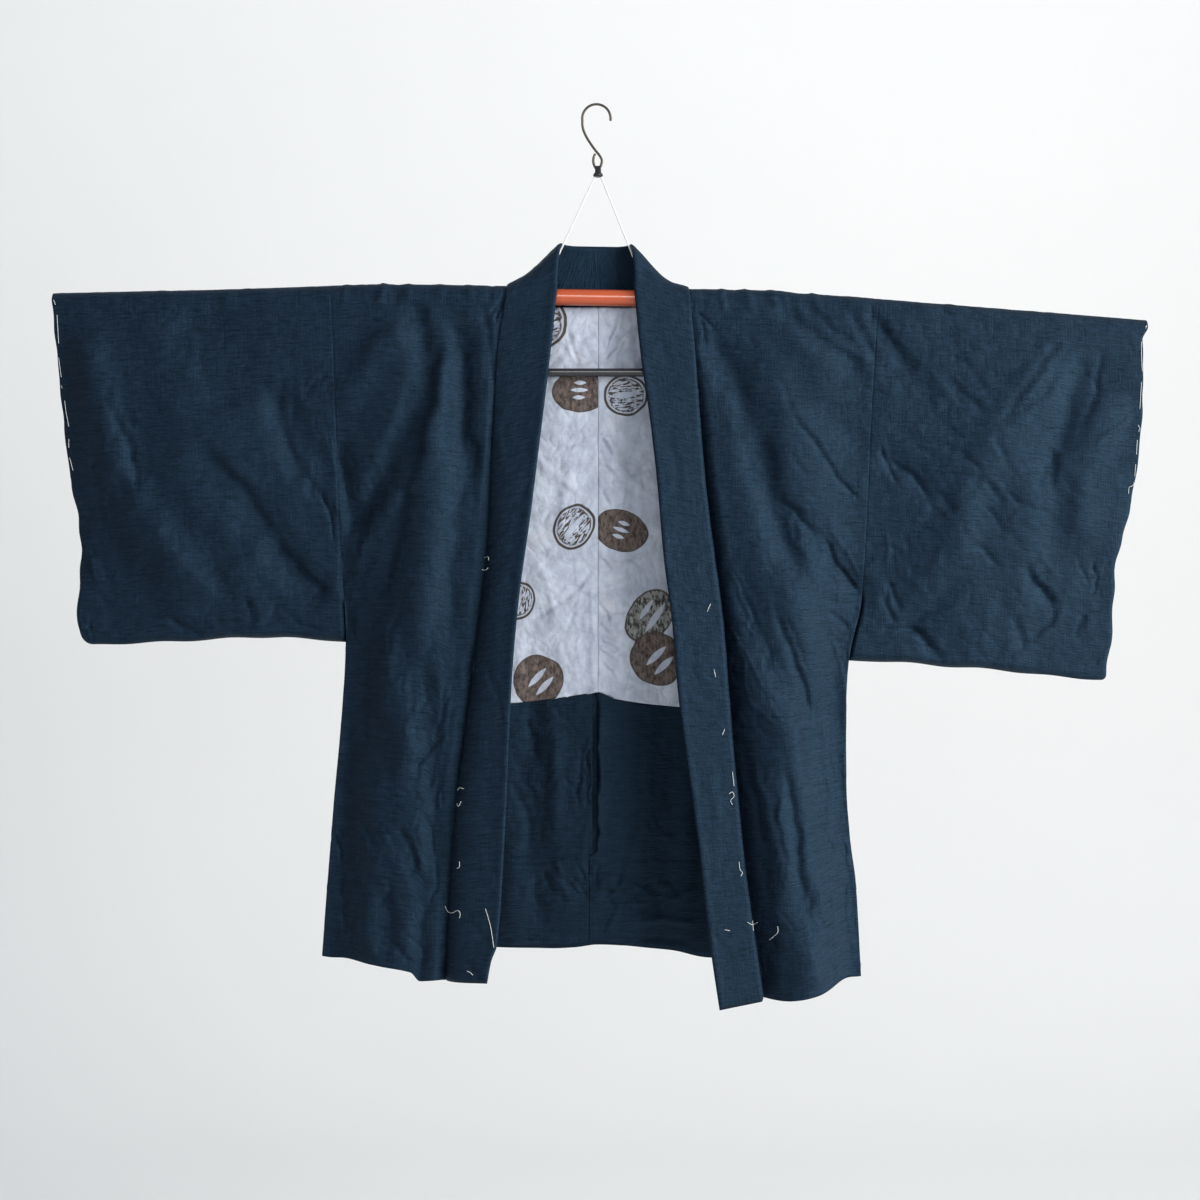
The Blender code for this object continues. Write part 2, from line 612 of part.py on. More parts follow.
def collar_neck(side):
    """Stations of the collar over the shoulder and round to the centre of the back."""
    sign = SIDES[side]
    for arc, seam_x, edge_x, edge_y, rise, clearance, sag in NECK:
        x = sign * seam_x
        if arc <= QUARTER_ARC:
            seam = over_tube(x, arc)
        else:
            seam = (x, BACK_STAND_OFF, tube_level(x) - (arc - QUARTER_ARC))
        edge = (sign * edge_x + NECK_EDGE_X_SHIFT, edge_y, crest_z(sign * edge_x) + rise)
        yield Vector(seam), Vector(edge), clearance, sag * SHOULDER_SAG[side]


def collar():
    """One band lofted between its seam and its free edge, from hem round to hem."""
    halves = {side: [*collar_front(side), *collar_neck(side)] for side in SIDES}
    stations = halves["right"] + halves["left"][-2::-1]

    def place(column, row):
        seam, edge, clearance, sag = stations[row]
        start = seam + (edge - seam).normalized() * clearance
        across = column / COLLAR_COLUMNS
        point = start.lerp(edge, across)
        point.y = mix(start.y, edge.y, (across + ease(across)) / 2)
        point.z -= sag * swell(across ** SAG_LEAN)
        return point

    mesh, _ = grid_piece(COLLAR_COLUMNS, len(stations) - 1, place)
    cloth_piece("collar", mesh, COLLAR_WALL, OUTER_CLOTH)


def gusset(side):
    """The narrow wedge between front and back below the armhole, tucked inward.

    Its edges run along the side edges of the two panels, so it has a row at each of theirs.
    """
    sign = SIDES[side]
    front = [[front_point(side, 0.0, 1.0 - index / FRONT_ROWS)] for index in range(FRONT_ROWS)]
    front = front[::-1]
    back = [row[:1] for row in back_lattice(side)]
    top_z = ARMHOLE_SHUT_BELOW[side]
    low_z = max(front[-1][0][2], back[-1][0][2]) + SEAM_GAP
    heights = sorted({round(row[0][2], 1) for row in front + back if low_z < row[0][2] < top_z})
    heights = [low_z] + heights + [top_z]
    inset = CLOTH_WALL / 2 + GUSSET_CLEARANCE

    def place(column, row):
        z = heights[row]
        front_edge, back_edge = on_column(front, 0, z), on_column(back, 0, z)
        across = column / GUSSET_COLUMNS
        tuck = GUSSET_TUCK * swell(across) * ease((top_z - z) / GUSSET_OPENING)
        x = mix(front_edge.x, back_edge.x, across) - sign * (CLOTH_WALL / 2 + tuck)
        return (x, mix(front_edge.y + inset, back_edge.y - inset, across), z)

    mesh, _ = grid_piece(GUSSET_COLUMNS, len(heights) - 1, place)
    cloth_piece("gusset_" + side, mesh, CLOTH_WALL, OUTER_CLOTH)


def back_lattice(side):
    """The back panel's own points below the neck, row by row from the top."""
    rows = [row for row in back_rows(side) if row[0] == "back" and row[1] >= NECK_DROP]
    return [[body_point(side, column / BODY_COLUMNS, row) for column in range(BODY_COLUMNS + 1)]
            for row in rows]


def on_column(lattice, column, z):
    """The point at height z on the straight facets down one column of the panel."""
    spot = 0
    while spot < len(lattice) - 2 and lattice[spot + 1][column][2] > z:
        spot += 1
    above, below = Vector(lattice[spot][column]), Vector(lattice[spot + 1][column])
    return above.lerp(below, (z - above.z) / (below.z - above.z))


def lining_heights(lattice, top, low):
    """Heights for each column: its top, the panel's own rows between, and its low edge."""
    columns = range(1, BODY_COLUMNS + 1)
    tops = [top(lattice[0][column][0]) for column in columns]
    lows = [low(lattice[0][column][0]) for column in columns]
    between = [row for row in lattice
               if all(low_z + ROW_MARGIN < row[column][2] < top_z - ROW_MARGIN
                      for column, top_z, low_z in zip(columns, tops, lows))]
    heights = [tops] + [[row[column][2] for column in columns] for row in between] + [lows]
    return heights


def inside_back(name, side, top, low, finish, inner_edge=None):
    """A lining made from the back panel's points, moved forward off it."""
    lattice = back_lattice(side)
    heights = lining_heights(lattice, top, low)
    step_off = CLOTH_WALL / 2 + LINING_GAP + LINING_WALL / 2

    def place(column, row):
        z = heights[row][column]
        point = on_column(lattice, column + 1, z)
        if column == BODY_COLUMNS - 1 and inner_edge:
            before = on_column(lattice, column, heights[row][column - 1])
            point = before.lerp(point, (inner_edge(z) - before.x) / (point.x - before.x))
        return point - Vector((0.0, step_off, 0.0))

    mesh, _ = grid_piece(BODY_COLUMNS - 1, len(heights) - 1, place)
    cloth_piece(name, mesh, LINING_WALL, finish)


def lining_edge_z(x):
    return read_table(LINING_EDGE, x)[0]


def back_lining(side):
    inside_back("back_lining_" + side, side, lambda x: LINING_TOP_Z, lining_edge_z, LINING_CLOTH)


def back_facing(side):
    """The dark facing below the lining, with the slit along its upper inner edge."""
    inside_back(
        "back_facing_" + side, side, lambda x: lining_edge_z(x) - SEAM_GAP,
        lambda x: read_table(BACK_HEM, x)[0] + FACING_HEM_RISE, OUTER_CLOTH,
        lambda z: read_table(SLIT[side], z)[0],
    )


# ---------------------------------------------------------------- the hanger

def rod(name, points, radius, resolution, finish):
    """A round rod along points given in millimetres."""
    data = bpy.data.curves.new(name, "CURVE")
    data.dimensions = "3D"
    data.bevel_depth = radius * MM
    data.bevel_resolution = resolution
    data.use_fill_caps = True
    spline = data.splines.new("POLY")
    spline.points.add(len(points) - 1)
    for spot, point in zip(spline.points, points):
        spot.co = (*(Vector(point) * MM), 1.0)
        spot.radius = 1.0
    spline.use_smooth = True
    return add_object(name, data, finish)


def tube_centre_z(x):
    return TUBE_CENTRE_Z - TUBE_FALL * x


def tube_and_arms():
    ends = [(x, 0.0, tube_centre_z(x)) for x in (TUBE_END["right"], TUBE_END["left"])]
    rod("hanger_tube", ends, TUBE_RADIUS, 6, ORANGE_PLASTIC)
    for side, sign in SIDES.items():
        x = TUBE_END[side]
        tip_x, tip_z = ARM_TIP[side]
        start = (x + sign * ARM_GAP, 0.0, tube_centre_z(x))
        rod("hanger_arm_" + side, (start, (tip_x, 0.0, tip_z)), ARM_RADIUS, 4, ORANGE_PLASTIC)


def bar_and_brackets():
    ends = ((-BAR_HALF_LENGTH, 0.0, BAR_Z), (BAR_HALF_LENGTH, 0.0, BAR_Z))
    rod("hanger_bar", ends, BAR_RADIUS, 4, BLACK_PLASTIC)
    for side, sign in SIDES.items():
        bracket(side, sign * (BAR_HALF_LENGTH + SEAT_GAP + BRACKET_WIDTH / 2))


def bracket(side, x):
    """A plain strip from the bar's end up to a saddle under the tube."""
    top, low = tube_centre_z(x) - TUBE_RADIUS / 2, BAR_Z - BRACKET_BELOW_BAR
    mesh = bmesh.new()
    bmesh.ops.create_cube(mesh, size=1.0)
    bmesh.ops.scale(mesh, verts=mesh.verts,
                    vec=(BRACKET_WIDTH * MM, BRACKET_DEPTH * MM, (top - low) * MM))
    bmesh.ops.translate(mesh, verts=mesh.verts, vec=Vector((x, 0.0, (top + low) / 2)) * MM)
    data = bpy.data.meshes.new("bar_bracket_" + side)
    mesh.to_mesh(data)
    mesh.free()
    piece = add_object("bar_bracket_" + side, data, BLACK_PLASTIC)
    saddle = bmesh.new()
    bmesh.ops.create_cone(saddle, cap_ends=True, segments=24, depth=BRACKET_WIDTH * 4 * MM,
                          radius1=(TUBE_RADIUS + SEAT_GAP) * MM,
                          radius2=(TUBE_RADIUS + SEAT_GAP) * MM)
    cutter_data = bpy.data.meshes.new("saddle_cutter_" + side)
    saddle.to_mesh(cutter_data)
    saddle.free()
    cutter = bpy.data.objects.new("saddle_cutter_" + side, cutter_data)
    cutters.objects.link(cutter)
    cutter.rotation_euler = (0.0, math.radians(90.0) + math.atan(TUBE_FALL), 0.0)
    cutter.location = Vector((x, 0.0, tube_centre_z(x))) * MM
    cutter.hide_render = True
    cutter.display_type = "WIRE"
    cut = piece.modifiers.new("Saddle", "BOOLEAN")
    cut.operation = "DIFFERENCE"
    cut.object = cutter


def cords():
    for side, sign in SIDES.items():
        foot_x = CORD_FOOT_X[side]
        top = (sign * CORD_TOP_X, 0.0, CLIP_TOP_Z - CLIP_PROFILE[-1][0] - CORD_END_GAP)
        foot = (foot_x, 0.0, tube_centre_z(foot_x) + TUBE_RADIUS + CORD_END_GAP + SEAT_GAP)
        rod("hanger_cord_" + side, (top, foot), CORD_RADIUS, 2, WHITE_CORD)


def clip():
    mesh = bmesh.new()
    rim = [(0.0, CLIP_PROFILE[0][0])] + [(radius, drop) for drop, radius in CLIP_PROFILE]
    rim.append((0.0, CLIP_PROFILE[-1][0]))
    spots = [mesh.verts.new(Vector((radius, 0.0, CLIP_TOP_Z - drop)) * MM) for radius, drop in rim]
    for first, second in zip(spots, spots[1:]):
        mesh.edges.new((first, second))
    data = bpy.data.meshes.new("hanger_clip")
    mesh.to_mesh(data)
    mesh.free()
    piece = add_object("hanger_clip", data, BLACK_PLASTIC)
    turn = piece.modifiers.new("Turned", "SCREW")
    turn.steps = 16
    turn.render_steps = 16
    turn.use_merge_vertices = True
    turn.merge_threshold = 0.00005
    turn.use_normal_calculate = True


def hook():
    """Crown arc, shank and closed eye of the wire hook, from the open tip down."""
    centre = (HOOK_SHANK[0][0] + CROWN_RADIUS * math.cos(CROWN_OVERRUN),
              WIRE_RADIUS - CROWN_RADIUS)
    points = []
    for index in range(CROWN_STEPS):
        share = index / (CROWN_STEPS - 1)
        angle = mix(-CROWN_OVERRUN, math.pi + CROWN_OVERRUN, share)
        points.append((centre[0] + CROWN_RADIUS * math.cos(angle), 0.0,
                       centre[1] + CROWN_RADIUS * math.sin(angle)))
    points += [(x, 0.0, z) for x, z in HOOK_SHANK]
    rod("hanger_hook", points, WIRE_RADIUS, 2, DARK_STEEL)


# ---------------------------------------------------------------- the whole object

for leftover in list(bpy.data.objects):
    bpy.data.objects.remove(leftover)
parts = bpy.data.collections.new("haori_on_hanger")
cutters = bpy.data.collections.new("cutters")
bpy.context.scene.collection.children.link(parts)
bpy.context.scene.collection.children.link(cutters)

for wearer_side in SIDES:
    body_panels(wearer_side)
    sleeve(wearer_side)
    gusset(wearer_side)
    back_lining(wearer_side)
    back_facing(wearer_side)
collar()
tube_and_arms()
bar_and_brackets()
cords()
clip()
hook()
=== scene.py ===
"""Lined haori jacket on its kimono hanger: the cloth, finishes, stage and lights.

The frame is the part's own: +X is the wearer's left, -Y the front, +Z up, and the origin
is the inside of the hook's crown.  Sizes and tables are in millimetres.
"""

import json
import math

import bmesh
import bpy
import numpy as np
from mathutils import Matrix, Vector
from mathutils.bvhtree import BVHTree

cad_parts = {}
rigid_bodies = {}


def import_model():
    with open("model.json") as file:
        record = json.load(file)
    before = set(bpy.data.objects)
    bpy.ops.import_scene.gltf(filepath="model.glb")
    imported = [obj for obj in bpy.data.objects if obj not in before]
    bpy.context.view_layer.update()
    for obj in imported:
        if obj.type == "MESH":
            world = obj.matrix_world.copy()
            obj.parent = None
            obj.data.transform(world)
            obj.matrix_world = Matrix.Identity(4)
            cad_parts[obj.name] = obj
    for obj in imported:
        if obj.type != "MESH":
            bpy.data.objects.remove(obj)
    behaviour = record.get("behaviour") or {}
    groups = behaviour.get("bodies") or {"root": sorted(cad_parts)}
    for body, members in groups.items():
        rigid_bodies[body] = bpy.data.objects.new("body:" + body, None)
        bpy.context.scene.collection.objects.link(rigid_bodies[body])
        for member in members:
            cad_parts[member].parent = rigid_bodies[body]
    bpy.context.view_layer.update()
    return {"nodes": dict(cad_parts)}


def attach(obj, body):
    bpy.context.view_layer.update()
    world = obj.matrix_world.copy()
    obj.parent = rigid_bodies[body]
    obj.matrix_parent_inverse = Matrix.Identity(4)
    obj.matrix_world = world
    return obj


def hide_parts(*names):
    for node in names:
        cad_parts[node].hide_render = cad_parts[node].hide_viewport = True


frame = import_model()

MM = 0.001
SIDES = {"right": -1, "left": 1}
FRONT, BACK = -1, 1  # the way in which a hanging layer stands off the tube, along y

# ---------------------------------------------------------------- camera, stage, light

# Metres here, watts for the lamps
CAMERA_PLACE = (0.0024, -2.5, -0.5934)
LENS, SENSOR, CLIP_END = 62.5, 36, 50
FLOOR_START, FLOOR_Z = -8, -1.9
SWEEP_START, SWEEP_RADIUS, SWEEP_STEPS = 2.4, 1.2, 12
WALL_TOP = 2.2
STAGE_HALF_WIDTH = 6
WALL_PAINT, WALL_SHADE = (0.86, 0.86, 0.85), 0.96
ROOM_COLOUR, ROOM_GLOW = (0.86, 0.92, 1, 1), 0.46
WHITE, COOL_WHITE = (1, 1, 1), (0.92, 1, 1)
LAMPS = {  # place, aim, size, power, colour
    "key": ((3.1, -2.5, 0.6), (0, 0, -0.65), (2.2, 2.4), 200, (1, 0.985, 0.96)),
    "fill": ((-0.3, -3.4, 0.1), (0, 0, -0.6), (1.6, 1.2), 9, WHITE),
    "wall_wash": ((0, 1.2, 2.2), (0, 3.6, -0.6), (6, 0.6), 42, WHITE),
    "side": ((3.6, -1.2, 0.2), (0, 0, -0.62), (1.6, 1.6), 104, COOL_WHITE),
    "rear": ((-2.8, 2.4, 0.5), (0, 0, -0.62), (1.8, 1.8), 110, COOL_WHITE),
    "inner": ((-1.3, -1.7, -1.6), (0.05, 0, -0.66), (0.5, 0.5), 9, WHITE),
    "strip": ((0, -2.4, 0.4), (0, 0, -0.27), (2.4, 0.45), 40, WHITE),
}

# ---------------------------------------------------------------- the hanger

TUBE_RADIUS, TUBE_SIDES, TUBE_STEPS = 9.8, 64, 60
TUBE_CENTRE_Z, TUBE_FALL = -230.8, 0.0157  # the centre at x = 0, and its fall to the left
TUBE_END = {"right": -265, "left": 215}
BAR_RADIUS, BAR_SIDES, BAR_STEPS = 5, 40, 40
BAR_Z = -320.4
BAR_HALF_LENGTH = 128
CORD_TOP_X, CORD_TOP_DEPTH = 3.4, 12
CORD_FOOT_X = {"right": -66, "left": 58}
CORD_FOOT_RISE = 0.7
CORD_STRANDS, CORD_TWISTS, CORD_STEPS = 3, 26, 300
STRAND_RADIUS, STRAND_SIDES, STRAND_OFFSET = 0.62, 8, 0.55
CLIP_TOP_Z, CLIP_SIDES = -72.9, 40
CLIP_PROFILE = (  # height below the clip's top, radius
    (0, 0), (0, 2.9), (0.5, 3.6), (7, 3.8), (8, 4.2), (9.6, 5.6), (10.4, 5.9), (11.6, 5.9),
    (12.3, 5.3), (13, 4.6), (13, 0),
)
WIRE_RADIUS, WIRE_SIDES = 1.5, 16
CROWN_RADIUS, CROWN_STEPS = 17, 40
CROWN_OVERRUN = math.radians(8)
HOOK_SHANK = (  # x, y, z down the wire from the end of the crown's arc to the tip of the eye
    (-18.7, 0, -23.4), (-17.3, 0, -30), (-13.5, 0, -38.5), (-8.2, 0, -46.8), (-3, 0, -54),
    (1.8, 0, -60), (4.6, 0, -65.6), (3.8, 0, -71), (1.8, 0, -75), (-0.6, 0, -76.2),
    (-3.2, 0, -74.6), (-5.4, 0.4, -69), (-5.4, 1.2, -63), (-3.7, 1.9, -58),
)
SHANK_STEPS = 8
DOME = ((0, 0.5), (0.7, 0.35))  # of a strand's end: share of its radius, reach in radii
X_AXIS, Y_AXIS, NEARLY_ALONG = (1, 0, 0), (0, 1, 0), 0.9
CLIP_WELD, SEAM_WELD, STRAND_WELD = 0.00001, 0.00002, 0.000002  # metres

# ---------------------------------------------------------------- colours

SILK_BLUES, SILK_SHEEN = ((0.0050, 0.0072, 0.0152), (0.0057, 0.0088, 0.0178)), (0.25, 0.64, 0.97, 1)
LINING_BLUES, LINING_STAIN = ((0.332, 0.366, 0.448), (0.418, 0.462, 0.544)), (0.50, 0.49, 0.52)
PRINT_BROWNS, PRINT_DARK = ((0.024, 0.017, 0.015), (0.118, 0.09, 0.08)), (0.045, 0.036, 0.032)
PRINT_OLIVES = (0.028, 0.026, 0.024), (0.22, 0.225, 0.22)
CORD_WHITES = (0.86, 0.86, 0.84), (1, 1, 1)
ORANGE, BLACK, STEEL = (0.34, 0.058, 0.017), (0.014, 0.015, 0.018), (0.10, 0.085, 0.07)


# ---------------------------------------------------------------- numbers and curves

def mix(start, end, share):
    return start + (end - start) * share


def ease(share):
    share = np.clip(share, 0, 1)
    return share * share * (3 - 2 * share)


def swell(share):
    return np.sin(np.pi * share) ** 2


def rounding(distance, radius):
    """From 0 at an edge up to 1 a radius away, along a round."""
    return np.sqrt(np.clip(1 - (1 - np.clip(distance / radius, 0, 1)) ** 2, 0, 1))


def spaced(count, pull=0.8):
    """Shares from 0 to 1 that lie closer together near both ends."""
    share = np.linspace(0, 1, count + 1)
    return share - pull * np.sin(2 * np.pi * share) / (2 * np.pi)


def unit(vectors):
    return vectors / np.linalg.norm(vectors, axis=-1, keepdims=True)


def row_travel(points):
    """Distance along the rows, measured down the middle column."""
    steps = np.linalg.norm(np.diff(points[:, points.shape[1] // 2], axis=0), axis=-1)
    return np.concatenate(([0], np.cumsum(steps)))[:, None]


def joined(*values):
    """Values over rows and columns, spread to one shape and set side by side at each place."""
    return np.stack(np.broadcast_arrays(*values), axis=-1)


class Table:
    """Rows of sizes, read smoothly between the values of their first column."""

    def __init__(self, *rows):
        rows = np.array(sorted(rows), dtype=float)
        self.key, self.value = rows[:, 0], rows[:, 1:]
        self.low, self.top = self.value[0, 0], self.value[-1, 0]
        secant = np.diff(self.value, axis=0) / np.diff(self.key)[:, None]
        before, after = secant[:-1], secant[1:]
        agree = before * after > 0
        total = np.where(agree, before + after, 1)
        inner = np.where(agree, 2 * before * after / total, 0)
        self.slope = np.vstack((secant[:1], inner, secant[-1:]))

    def __call__(self, key, column=0):
        key = np.clip(key, self.key[0], self.key[-1])
        spot = np.clip(np.searchsorted(self.key, key) - 1, 0, len(self.key) - 2)
        width = self.key[spot + 1] - self.key[spot]
        share = (key - self.key[spot]) / width
        leave, arrive = (self.slope[row, column] * width for row in (spot, spot + 1))
        bend = share * (1 - share) * ((1 - share) * leave - share * arrive)
        return mix(self.value[spot, column], self.value[spot + 1, column], ease(share)) + bend


def sided(**sides):
    return {side: Table(*rows) for side, rows in sides.items()}


def waves(seed, x, z, longest):
    """Smooth uneven waves over the cloth, mostly between -1 and 1."""
    chance = np.random.default_rng(seed)
    total = 0
    for _ in range(WAVE_COUNT):
        turn, phase = chance.uniform(0, 2 * math.pi, 2)
        length = longest * chance.uniform(SHORTEST_WAVE, 1)
        total = total + np.sin(2 * math.pi / length
                               * (x * math.cos(turn) + z * math.sin(turn)) + phase)
    return total / math.sqrt(WAVE_COUNT)


def crease_height(rows, x, z):
    """Sum of all the creases at points of the cloth, seen from the cloth's outside."""
    (over, jitter, down), (long, short) = CREASE_SEEDS, CREASE_WAVES
    x, z = (
        x + CREASE_WANDER * waves(over, x, z, long) + CREASE_JITTER * waves(jitter, x, z, short),
        z + CREASE_WANDER * waves(down, x, z, long))
    total = np.zeros_like(x)
    for x0, z0, x1, z1, x2, z2, right, left, height, sharp in rows:
        reach = max(right, left)
        near = ((x > min(x0, x1, x2) - reach) & (x < max(x0, x1, x2) + reach)
                & (z > min(z0, z1, z2) - reach) & (z < max(z0, z1, z2) + reach))
        if not near.any():
            continue
        at_x, at_z = x[near], z[near]
        upper, lower = math.hypot(x1 - x0, z1 - z0), math.hypot(x2 - x1, z2 - z1)
        nearest = np.full_like(at_x, np.inf)
        travelled, half = np.zeros_like(at_x), np.full_like(at_x, reach)
        for ax, az, bx, bz, length, before in (
                (x0, z0, x1, z1, upper, 0), (x1, z1, x2, z2, lower, upper)):
            run, fall = bx - ax, bz - az
            along = np.clip(((at_x - ax) * run + (at_z - az) * fall) / length ** 2, 0, 1)
            off_x, off_z = at_x - ax - along * run, at_z - az - along * fall
            off = np.hypot(off_x, off_z)
            closer = off < nearest
            nearest = np.where(closer, off, nearest)
            travelled = np.where(closer, before + along * length, travelled)
            on_right = run * off_z - fall * off_x > 0
            half = np.where(closer, np.where(on_right, right, left), half)
        share = travelled / (upper + lower)
        fade = ease(np.minimum(share, 1 - share) / CREASE_FADE)
        across = np.clip(nearest / half, 0, 1)
        total[near] += height * fade * mix(0.5 + 0.5 * np.cos(np.pi * across),
                                           (1 - across) ** 2, sharp)
    return total


def scattered(seed, clusters):
    """Short fine creases round the middle of each cluster, mostly along its heading."""
    chance = np.random.default_rng(seed)
    rows = []
    for x, z, half_width, half_height, heading, spread, count, height in clusters:
        for _ in range(count):
            at_x, at_z = (x, z) + chance.normal(0, SCATTER_PLACE, 2) * (half_width, half_height)
            turn = math.radians(chance.normal(heading, spread))
            run_x, run_z = chance.uniform(*SCATTER_RUN) * np.array((math.cos(turn), math.sin(turn)))
            bend = chance.uniform(*SCATTER_BEND)
            reach = chance.uniform(*SCATTER_REACH)
            deep = SCATTER_HEIGHT * height * chance.uniform(*SCATTER_DEPTH)
            deep = deep if chance.random() < SCATTER_RIDGES else -deep
            rows.append((at_x - run_x, at_z - run_z, at_x - bend * run_z, at_z + bend * run_x,
                         at_x + run_x, at_z + run_z, reach, reach, deep, SCATTER_SHARP))
    return rows


WAVE_COUNT, SHORTEST_WAVE = 10, 0.4
CREASE_WANDER, CREASE_JITTER = 1.6, 0.5  # how far waves bend each crease's line
CREASE_WAVES, CREASE_SEEDS = (70, 22), (3, 4, 5)
CREASE_FADE = 0.22  # share of a crease's length over which each end fades
# Fine crumples: height and wave of dimples, and of faint creases with how thin they are
DIMPLES, FAINT_CREASES = ((0.16, 46), (0.07, 17)), ((0.55, 64, 3.4), (0.3, 38, 3))
PATCH_SHARE, PATCH_TOP, PATCH_WAVE = 0.25, 1.3, 170
# Scattered creases: place, half length, bend, reach, how deep, share of ridges, sharpness
SCATTER_PLACE, SCATTER_RUN, SCATTER_BEND, SCATTER_REACH = 0.55, (6, 24), (-0.4, 0.4), (3.4, 5.6)
SCATTER_HEIGHT, SCATTER_DEPTH, SCATTER_RIDGES, SCATTER_SHARP = 1.7, (0.4, 1.2), 0.4, 0.8

# Seeds, so that each piece has waves and creases of its own
FRONT_SEED, BACK_SEED, COLLAR_SEED, LINING_SEED, GUSSET_SEED, FACING_SEED = 11, 31, 51, 61, 71, 81
BODY_HEM_SEED, SLEEVE_HEM_SEED, CUFF_SEED = 41, 42, 43
FRONT_SCATTER, FACING_SCATTER, LINING_SCATTER = 19, 23, 29

# ---------------------------------------------------------------- the cloth's own lines

CREST_LINE = Table(  # x, z of the middle of the wall over the tube and arms
    (-660, -226.2), (-598, -224.6), (-508, -222.8), (-448, -221.4), (-388, -219.4), (-328, -217.2),
    (-265, -215.2), (0, -219.4), (215, -222.8), (242, -226), (302, -229.8), (362, -234.8),
    (482, -244.4), (602, -253.9), (662, -258.8),
)
CREST_DROP = 11.4  # from the crest to where the cloth leaves the tube
STAND_OFF = {FRONT: 11.8, BACK: 13}
QUARTER_ARC = 18  # from the crest round to where the cloth leaves the tube, on either side
SETTLE_DROP = 60
LEAST_DEPTH = 2.5
LEAST_ROOM, ROOM_GROWTH, ROOM_REACH = 0.9, 0.22, 200  # for creases below the tube

# Side edges of the body, shared by the sleeves' armholes and the gussets
SIDE_EDGE = sided(  # z, x, front y, back y
    right=(
        (-229, -319.5, -11.8, 13), (-322, -315, -14, 14), (-505, -308.8, -15, 14),
        (-566, -305.3, -14, 13), (-644, -301, -14, 12), (-736, -306, -18, 15),
        (-831, -314, -23, 20), (-937, -321.5, -29, 25), (-1014, -326.5, -34, 28),
    ),
    left=(
        (-243, 334.9, -11.8, 13), (-383, 325.8, -14, 14), (-468, 322, -15, 14),
        (-590, 315, -14, 13), (-664, 299.5, -14, 12), (-713, 295.7, -17, 14),
        (-808, 295.1, -22, 18), (-878, 299.4, -25, 22), (-926, 305.5, -28, 25),
        (-1037, 311.3, -34, 28),
    ),
)
# The seam between the front and the collar, and how far the front panel bows forward
COLLAR_SEAM = sided(  # z, x, y, bow
    right=(
        (-229, -111, -11.8, 2), (-292, -120.4, -16, 5), (-415, -126, -24, 11),
        (-529, -130.3, -32, 14), (-626, -140.6, -38, 16), (-711, -151, -44, 16),
        (-837, -166.8, -52, 15), (-925, -172.3, -58, 14), (-1038, -177.7, -64, 14),
    ),
    left=(
        (-233, 111, -11.8, 2), (-292, 115.7, -16, 6), (-445, 127.1, -26, 12),
        (-517, 135.1, -31, 14), (-626, 148.9, -38, 16), (-717, 155.6, -44, 16),
        (-824, 164.6, -51, 16), (-913, 173.6, -57, 15), (-996, 185, -62, 14),
        (-1061, 194, -66, 14),
    ),
)
FREE_EDGE = sided(  # z, x, y of the collar's free edge down the front
    right=(
        (-211, -47.5, -15.5), (-284, -54.7, -21), (-404, -68.6, -35), (-499, -80.1, -46),
        (-593, -92.7, -55), (-687, -100.6, -62), (-842, -107, -75), (-994, -117, -85),
        (-1012, -123.5, -86.5), (-1038, -128.4, -88),
    ),
    left=(
        (-211, 42, -15.5), (-296, 50, -22), (-380, 61.6, -32), (-452, 69.7, -40),
        (-546, 77.6, -51), (-617, 86.8, -57), (-699, 93.5, -63), (-874, 116.4, -77),
        (-1009, 132.2, -86), (-1070, 141.2, -90),
    ),
)
# The neck: the seam over the tube and down behind it, and the collar's standing edge
# Distance over the crest, seam x, edge x, edge y, edge above the crest, clearance, sag
NECK_LINE = Table(
    (-18, 111, 46, -15.5, 8, 1, 0), (-10, 110, 44.5, -13, 30, 1.1, 0.5),
    (-4, 109.4, 42.5, -8.5, 46, 1.3, 0.9), (0, 109, 41, -1, 52.5, 1.4, 1),
    (5, 108, 40, 6, 54, 1.2, 1), (10, 105.5, 39, 10.5, 54, 0.9, 0.7),
    (14, 99.5, 36.5, 12.5, 53.5, 0.7, 0.3), (18, 87, 32, 13.5, 53, 0.5, 0),
    (21, 68, 25, 14, 52.5, 0.4, 0), (24, 40, 15, 14, 52.5, 0.4, 0), (26.5, 0, 0, 14, 52.5, 0.4, 0),
)
NECK_DROP, NECK_STEP = NECK_LINE.key[-1] - QUARTER_ARC, 0.5
NECK_EDGE_X_SHIFT = -2.5
SHOULDER_SAG, SAG_LEAN = {"right": 5, "left": 10}, 0.8

# Hems and the centre of the back
FRONT_HEM = sided(  # x, z
    right=((-326.5, -1013.6), (-262, -1020.5), (-219, -1028), (-208, -1038.5), (-177.7, -1038.5)),
    left=(
        (194, -1060.7), (207, -1061), (236, -1061), (273, -1050.5), (298, -1040), (311.3, -1036),
    ),
)
BACK_HEM = Table(  # x, z
    (-326.5, -1014), (-118, -1015), (-58, -1015), (-28, -1013.5), (0, -1010), (33, -1011.5),
    (63, -1015), (93, -1018.5), (132, -1028), (311.3, -1037),
)
CENTRE_BACK = Table(  # z, y, how far the back panel bows backward beside it
    (-240, 13, 0), (-420, 14, 3), (-640, 16, 5), (-1015, 20, 7),
)
HEM_WOBBLE, HEM_WAVE = 1.3, 90
BODY_HEM_FADE, SLEEVE_HEM_FADE = 12, 8  # how fast the wobble fades above the hem

